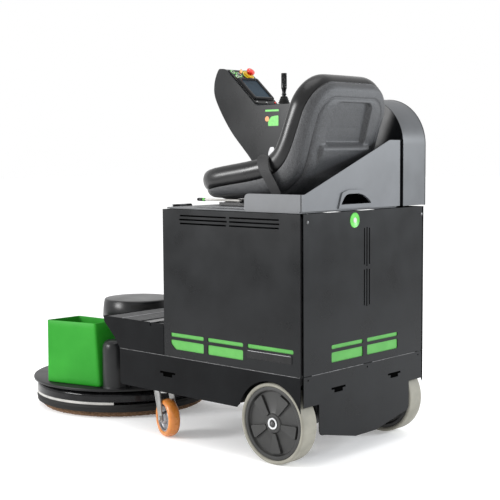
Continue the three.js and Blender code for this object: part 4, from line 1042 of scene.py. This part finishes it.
def console_outline(inset):
    """The console seen from the side, drawn inwards by a hair for the wrap."""
    r = 183
    quarter = [(r - (r - inset) * math.cos(a), CONSOLE_TOP + 8 - r + (r - inset) * math.sin(a))
               for a in (math.pi / 2 * k / 28 for k in range(29))]
    head = [(SLOPE_FOOT[0] + inset, SLOPE_FOOT[1] - inset, 6),
            (SLOPE_HEAD[0] + inset, SLOPE_HEAD[1] - inset, 8),
            (984, CONSOLE_TOP + 168 - inset, 10)]
    front = [(y - inset, z) for y, z in reversed(spline(FRONT)[:-6])]
    return rounded([(inset, TOP + 5 + inset), *quarter, *head, *front], 5)


# The wrap wears the paler lit copy of the plates' coat: painted light on its upward faces.
wrap = slab(console_outline(1.2), "x", CONSOLE_LEFT + 2.6, CONSOLE_RIGHT - 2.6)
piece("console_wrap", wrap, "chassis", painted_light_wrap_charcoal, smooth=30,
      stands_for=["console_shell"])
for name, x in (("left", (CONSOLE_LEFT, CONSOLE_LEFT + 3)), ("right", (CONSOLE_RIGHT - 3, CONSOLE_RIGHT))):
    piece("console_side_" + name, slab(console_outline(0), "x", *x), "chassis", charcoal,
          bevel=0.9)
print("console is", 155, "mm wide and", round(CONSOLE_TOP + 168 - TOP), "mm high")

# %% [markdown]
# ## Controls on the slope
# Pieces on the slope are drawn flat, with s up the slope and t out of it, and then laid on
# it by `on_slope`. The screen sits in a thick bezel with rounded corners. Labels are plain
# rings with no words. The stop button is a red mushroom on a yellow collar.

# %% Screen and labels
SLOPE = Vector((SLOPE_HEAD[0] - SLOPE_FOOT[0], SLOPE_HEAD[1] - SLOPE_FOOT[1])).normalized()
OUT_OF_SLOPE = Vector((0, -SLOPE.y, SLOPE.x))


def on_slope(x, s, t=0.0):
    """A place on the console slope, as (x, y, z) in millimetres."""
    return (x, SLOPE_FOOT[0] + s * SLOPE.x - t * SLOPE.y, SLOPE_FOOT[1] + s * SLOPE.y + t * SLOPE.x)


def laid(shape, low, high):
    """An outline in (x, s) given thickness out of the slope."""
    rings = [[at(*on_slope(x, s, t)) for x, s in shape] for t in (low, high)]
    return loft(rings)


def box_outline(x0, x1, s0, s1, r):
    """A rectangle on the slope with rounded corners."""
    return rounded([(x0, s0, r), (x1, s0, r), (x1, s1, r), (x0, s1, r)], 6)


LEFT, RIGHT = CONSOLE_LEFT + 8, CONSOLE_RIGHT - 6
piece("screen_surround", laid(box_outline(LEFT, RIGHT, 10, 238, 9), 0.3, 4.5), "chassis", gloss_black,
      bevel=1.5, stands_for=["screen_bezel"])
rim_rings = []
for inset, t in ((0, 4.4), (1.5, 11), (4, 13.5), (11, 13.5), (14, 11), (15, 5.5)):
    rim_rings.append([at(*on_slope(x, s, t)) for x, s in box_outline(LEFT + 6 + inset, RIGHT - 4 - inset,
                                                                      34 + inset, 178 - inset, 10)])
piece("screen_frame", loft(rim_rings, capped=False), "chassis", gloss_black, smooth=50)
piece("screen_pane", laid(box_outline(LEFT + 20, RIGHT - 18, 48, 164, 4), 4.6, 7.5), "chassis", glass_blue,
      bevel=0.6, stands_for=["screen"])
KEY, STOP = (CONSOLE_LEFT + 52, 204), (CONSOLE_RIGHT - 42, 204)


def disc(name, place, radius, hole, look, low=4.5, high=5.1):
    """A thin round label on the surround."""
    ring = [(hole, low), (radius, low), (radius, high), (hole, high)]
    piece(name, spin(ring, on_slope(*place), OUT_OF_SLOPE, 48), "chassis", look, smooth=40)


disc("key_label", KEY, 17, 13.5, label_green)
disc("key_label_face", KEY, 13.4, 9.4, white_plastic, 4.5, 4.9)
disc("lamp_label", (CONSOLE_LEFT + 27, 222), 13, 10, label_green)
disc("lamp_label_face", (CONSOLE_LEFT + 27, 222), 9.8, 6.5, white_plastic, 4.5, 4.9)
disc("lower_label", (CONSOLE_LEFT + 32, 190), 12, 9, label_green)
disc("lower_label_face", (CONSOLE_LEFT + 32, 190), 8.8, 4, white_plastic, 4.5, 4.9)
disc("stop_label", STOP, 28, 21.5, signal_yellow)
disc("stop_label_edge", STOP, 30, 28.1, label_green)
SLOPE_SCREW = [(0, 4.4), (5, 4.4), (5, 6), (3.6, 7.4), (0, 7.8)]
for name, x, s, look in (("left", LEFT + 12, 20, zinc), ("middle", LEFT + 70, 17, zinc),
                         ("right", RIGHT - 14, 18, signal_red)):
    piece("slope_screw_" + name, spin(SLOPE_SCREW, on_slope(x, s), OUT_OF_SLOPE, 24), "chassis", look,
          smooth=50)
print("slope rises at", round(math.degrees(math.atan2(SLOPE.y, SLOPE.x)), 1), "degrees")

# %% Stop button and key
COLLAR = [(11, 6.5), (21, 6.5), (21, 8), (19.5, 13), (18.5, 14), (11, 14)]
piece("stop_collar", spin(COLLAR, on_slope(*STOP), OUT_OF_SLOPE, 64), "chassis", signal_yellow,
      smooth=40, stands_for=["estop_base"])
MUSHROOM = [(0, 12), (10, 12), (10, 20), (16, 20.5), (18.4, 22), (19, 25), (18.6, 29), (16.5, 32.2),
            (12, 33.6), (5, 34), (0, 34)]
piece("stop_mushroom", spin(MUSHROOM, on_slope(*STOP), OUT_OF_SLOPE, 72), "estop", signal_red,
      smooth=50, stands_for=["estop_button"])
arrows = []
for k in range(3):
    a = math.radians(20 + 120 * k)
    b = math.radians(70 + 120 * k)
    arc = [Vector(on_slope(STOP[0] + 11 * math.cos(t), STOP[1] + 11 * math.sin(t), 33.7)) for t in
           (along(a, b, i / 8) for i in range(9))]
    arrows.append(swept([at(*p) for p in arc], 1.5, 0.6, OUT_OF_SLOPE.cross(Vector((1, 0.3, 0)))))
piece("stop_arrows", joined(*arrows), "estop", white_plastic, smooth=60)
BARREL = [(0, 5), (9.2, 5), (9.2, 9), (8.4, 12.4), (7, 13.6), (0, 14)]
bow = laid([(KEY[0] + x, KEY[1] + s) for x, s in ((-1.4, -8), (1.4, -8), (1.4, 8), (-1.4, 8))], 13, 31)
piece("key_barrel", spin(BARREL, on_slope(*KEY), OUT_OF_SLOPE, 48), "key", zinc, smooth=40,
      stands_for=["key_switch"])
piece("key_bow", bow, "key", bronze, bevel=1)

# %% [markdown]
# ## Joystick
# A ribbed rubber boot seals the hole, and the stick stands in it with a waisted stem and
# a knurled grip. The boot tips with the stick, inside a fixed collar that hides its foot.

# %% Joystick pieces
STICK_X, STICK_Y = CONSOLE_LEFT + 77, 671
foot = (STICK_X, STICK_Y, CONSOLE_TOP)
base = [(29, 0), (38, 0), (38, 3), (36, 5.5), (31, 6), (29, 5)]
piece("joystick_collar", spin(base, foot, segments=64), "chassis", black_plastic, smooth=40)
BOOT = [(5, 8), (23, 8), (25.4, 9.4), (25.4, 11.5), (20.5, 14.5), (20.5, 16), (22.6, 17.6), (22.6, 19.6),
        (17.6, 22.6), (17.6, 24), (19.4, 25.6), (19.4, 27.4), (14.8, 30.4), (14.8, 31.6), (16.2, 33),
        (16, 35), (11, 38.5), (5, 39)]
piece("joystick_boot", spin(BOOT, foot, segments=80), "stick", black_rubber, smooth=35,
      stands_for=["joystick_stick"])
GRIP = [(0, 30), (8.2, 34), (8.2, 42), (10.4, 45), (10.4, 48), (8.6, 50), (8.6, 58), (9.6, 66),
        (11.6, 70), (12.4, 73), (12.4, 76), (11.4, 77.4), (11.4, 128), (12.2, 129.5), (12.2, 134),
        (11, 136.4), (0, 137)]
piece("joystick_grip", spin(GRIP, foot, segments=72), "stick", gloss_black, smooth=35)
ribs = []
for k in range(18):
    t = 2 * math.pi * k / 18
    x, y = STICK_X + 11.4 * math.cos(t), STICK_Y + 11.4 * math.sin(t)
    ribs.append(tube([at(x, y, CONSOLE_TOP + h) for h in (79, 100, 126)], 0.8, 6))
piece("joystick_grip_ribs", joined(*ribs), "stick", gloss_black, smooth=60)
print("stick stands", 137, "mm above the arm rest")

# %% [markdown]
# ## Console patch
# A plain sign patch on the side of the console: a dark ground, one green bar, one green
# block and one orange dot. It carries no words and no figure.

# %% Patch
ground = slab(rounded([(628, 1236, 4), (716, 1236, 4), (716, 1316, 4), (628, 1316, 4)], 4), "x",
              CONSOLE_LEFT - 0.5, CONSOLE_LEFT + 0.4)
piece("console_patch", ground, "chassis", charcoal, bevel=0.2)
green_bar = rounded([(634, 1303, 2), (710, 1303, 2), (710, 1311, 2), (634, 1311, 2)], 3)
green_block = rounded([(636, 1242, 5), (694, 1242, 5), (694, 1262, 8), (676, 1282, 8), (636, 1286, 5)], 4)
patch_face = (CONSOLE_LEFT - 1, CONSOLE_LEFT - 0.3)
marks = joined(slab(green_bar, "x", *patch_face), slab(green_block, "x", *patch_face))
piece("console_patch_marks", marks, "chassis", label_green, smooth=40)
DOT = [(0, 0), (11, 0), (11, 0.6), (0, 0.7)]
piece("console_patch_dot", spin(DOT, (CONSOLE_LEFT - 0.4, 700, 1272), (-1, 0, 0), 40), "chassis",
      label_orange, smooth=40)
print("patch is", 716 - 628, "mm long")

# %% [markdown]
# ## Floor and light
# A pale matt floor and large soft lights: a bright sky gives the even base, one softbox
# stands to the left front, one to the right rear, and one hangs above. Big lights make
# broad, soft reflections that run along folded edges and seat rolls.

# %% Floor
floor_mesh = bpy.data.meshes.new("floor")
floor_mesh.from_pydata([(-40, -40, 0), (40, -40, 0), (40, 40, 0), (-40, 40, 0)], [], [(0, 1, 2, 3)])
floor = bpy.data.objects.new("floor", floor_mesh)
floor_look = finish("studio floor", (0.86, 0.86, 0.86), (0.88, 0.88, 0.88), (0.9, 1.0), cloud=0.5,
                    Emission_Color=(1, 1, 1, 1), Emission_Strength=0.26)
floor_mesh.materials.append(floor_look)
scene.collection.objects.link(floor)

# %% Lights
world = bpy.data.worlds.new("studio")
world.use_nodes = True
world.node_tree.nodes["Background"].inputs["Color"].default_value = (1.0, 1.0, 1.0, 1)
world.node_tree.nodes["Background"].inputs["Strength"].default_value = 1.0
scene.world = world
scene.view_settings.view_transform = "Standard"


def softbox(name, place, target, size, power, colour=(1, 1, 1)):
    """A large soft light that faces a point."""
    data = bpy.data.lights.new(name, "AREA")
    data.shape = "RECTANGLE"
    data.size, data.size_y = size
    data.energy = power
    data.color = colour
    light = bpy.data.objects.new(name, data)
    light.location = place
    light.rotation_euler = (Vector(target) - Vector(place)).to_track_quat("-Z", "Y").to_euler()
    light.visible_camera = False
    scene.collection.objects.link(light)


softbox("left softbox", (-3.0, 1.6, 1.6), (-0.38, -0.7, 0.95), (1.3, 0.75), 95)
softbox("rear softbox", (2.5, -3.6, 1.65), (-0.2, -0.88, 1.0), (1.2, 0.75), 95, (0.90, 0.95, 1))
softbox("top softbox", (-0.6, -0.6, 4.2), (0, 0, 0.6), (2.4, 2.4), 36)
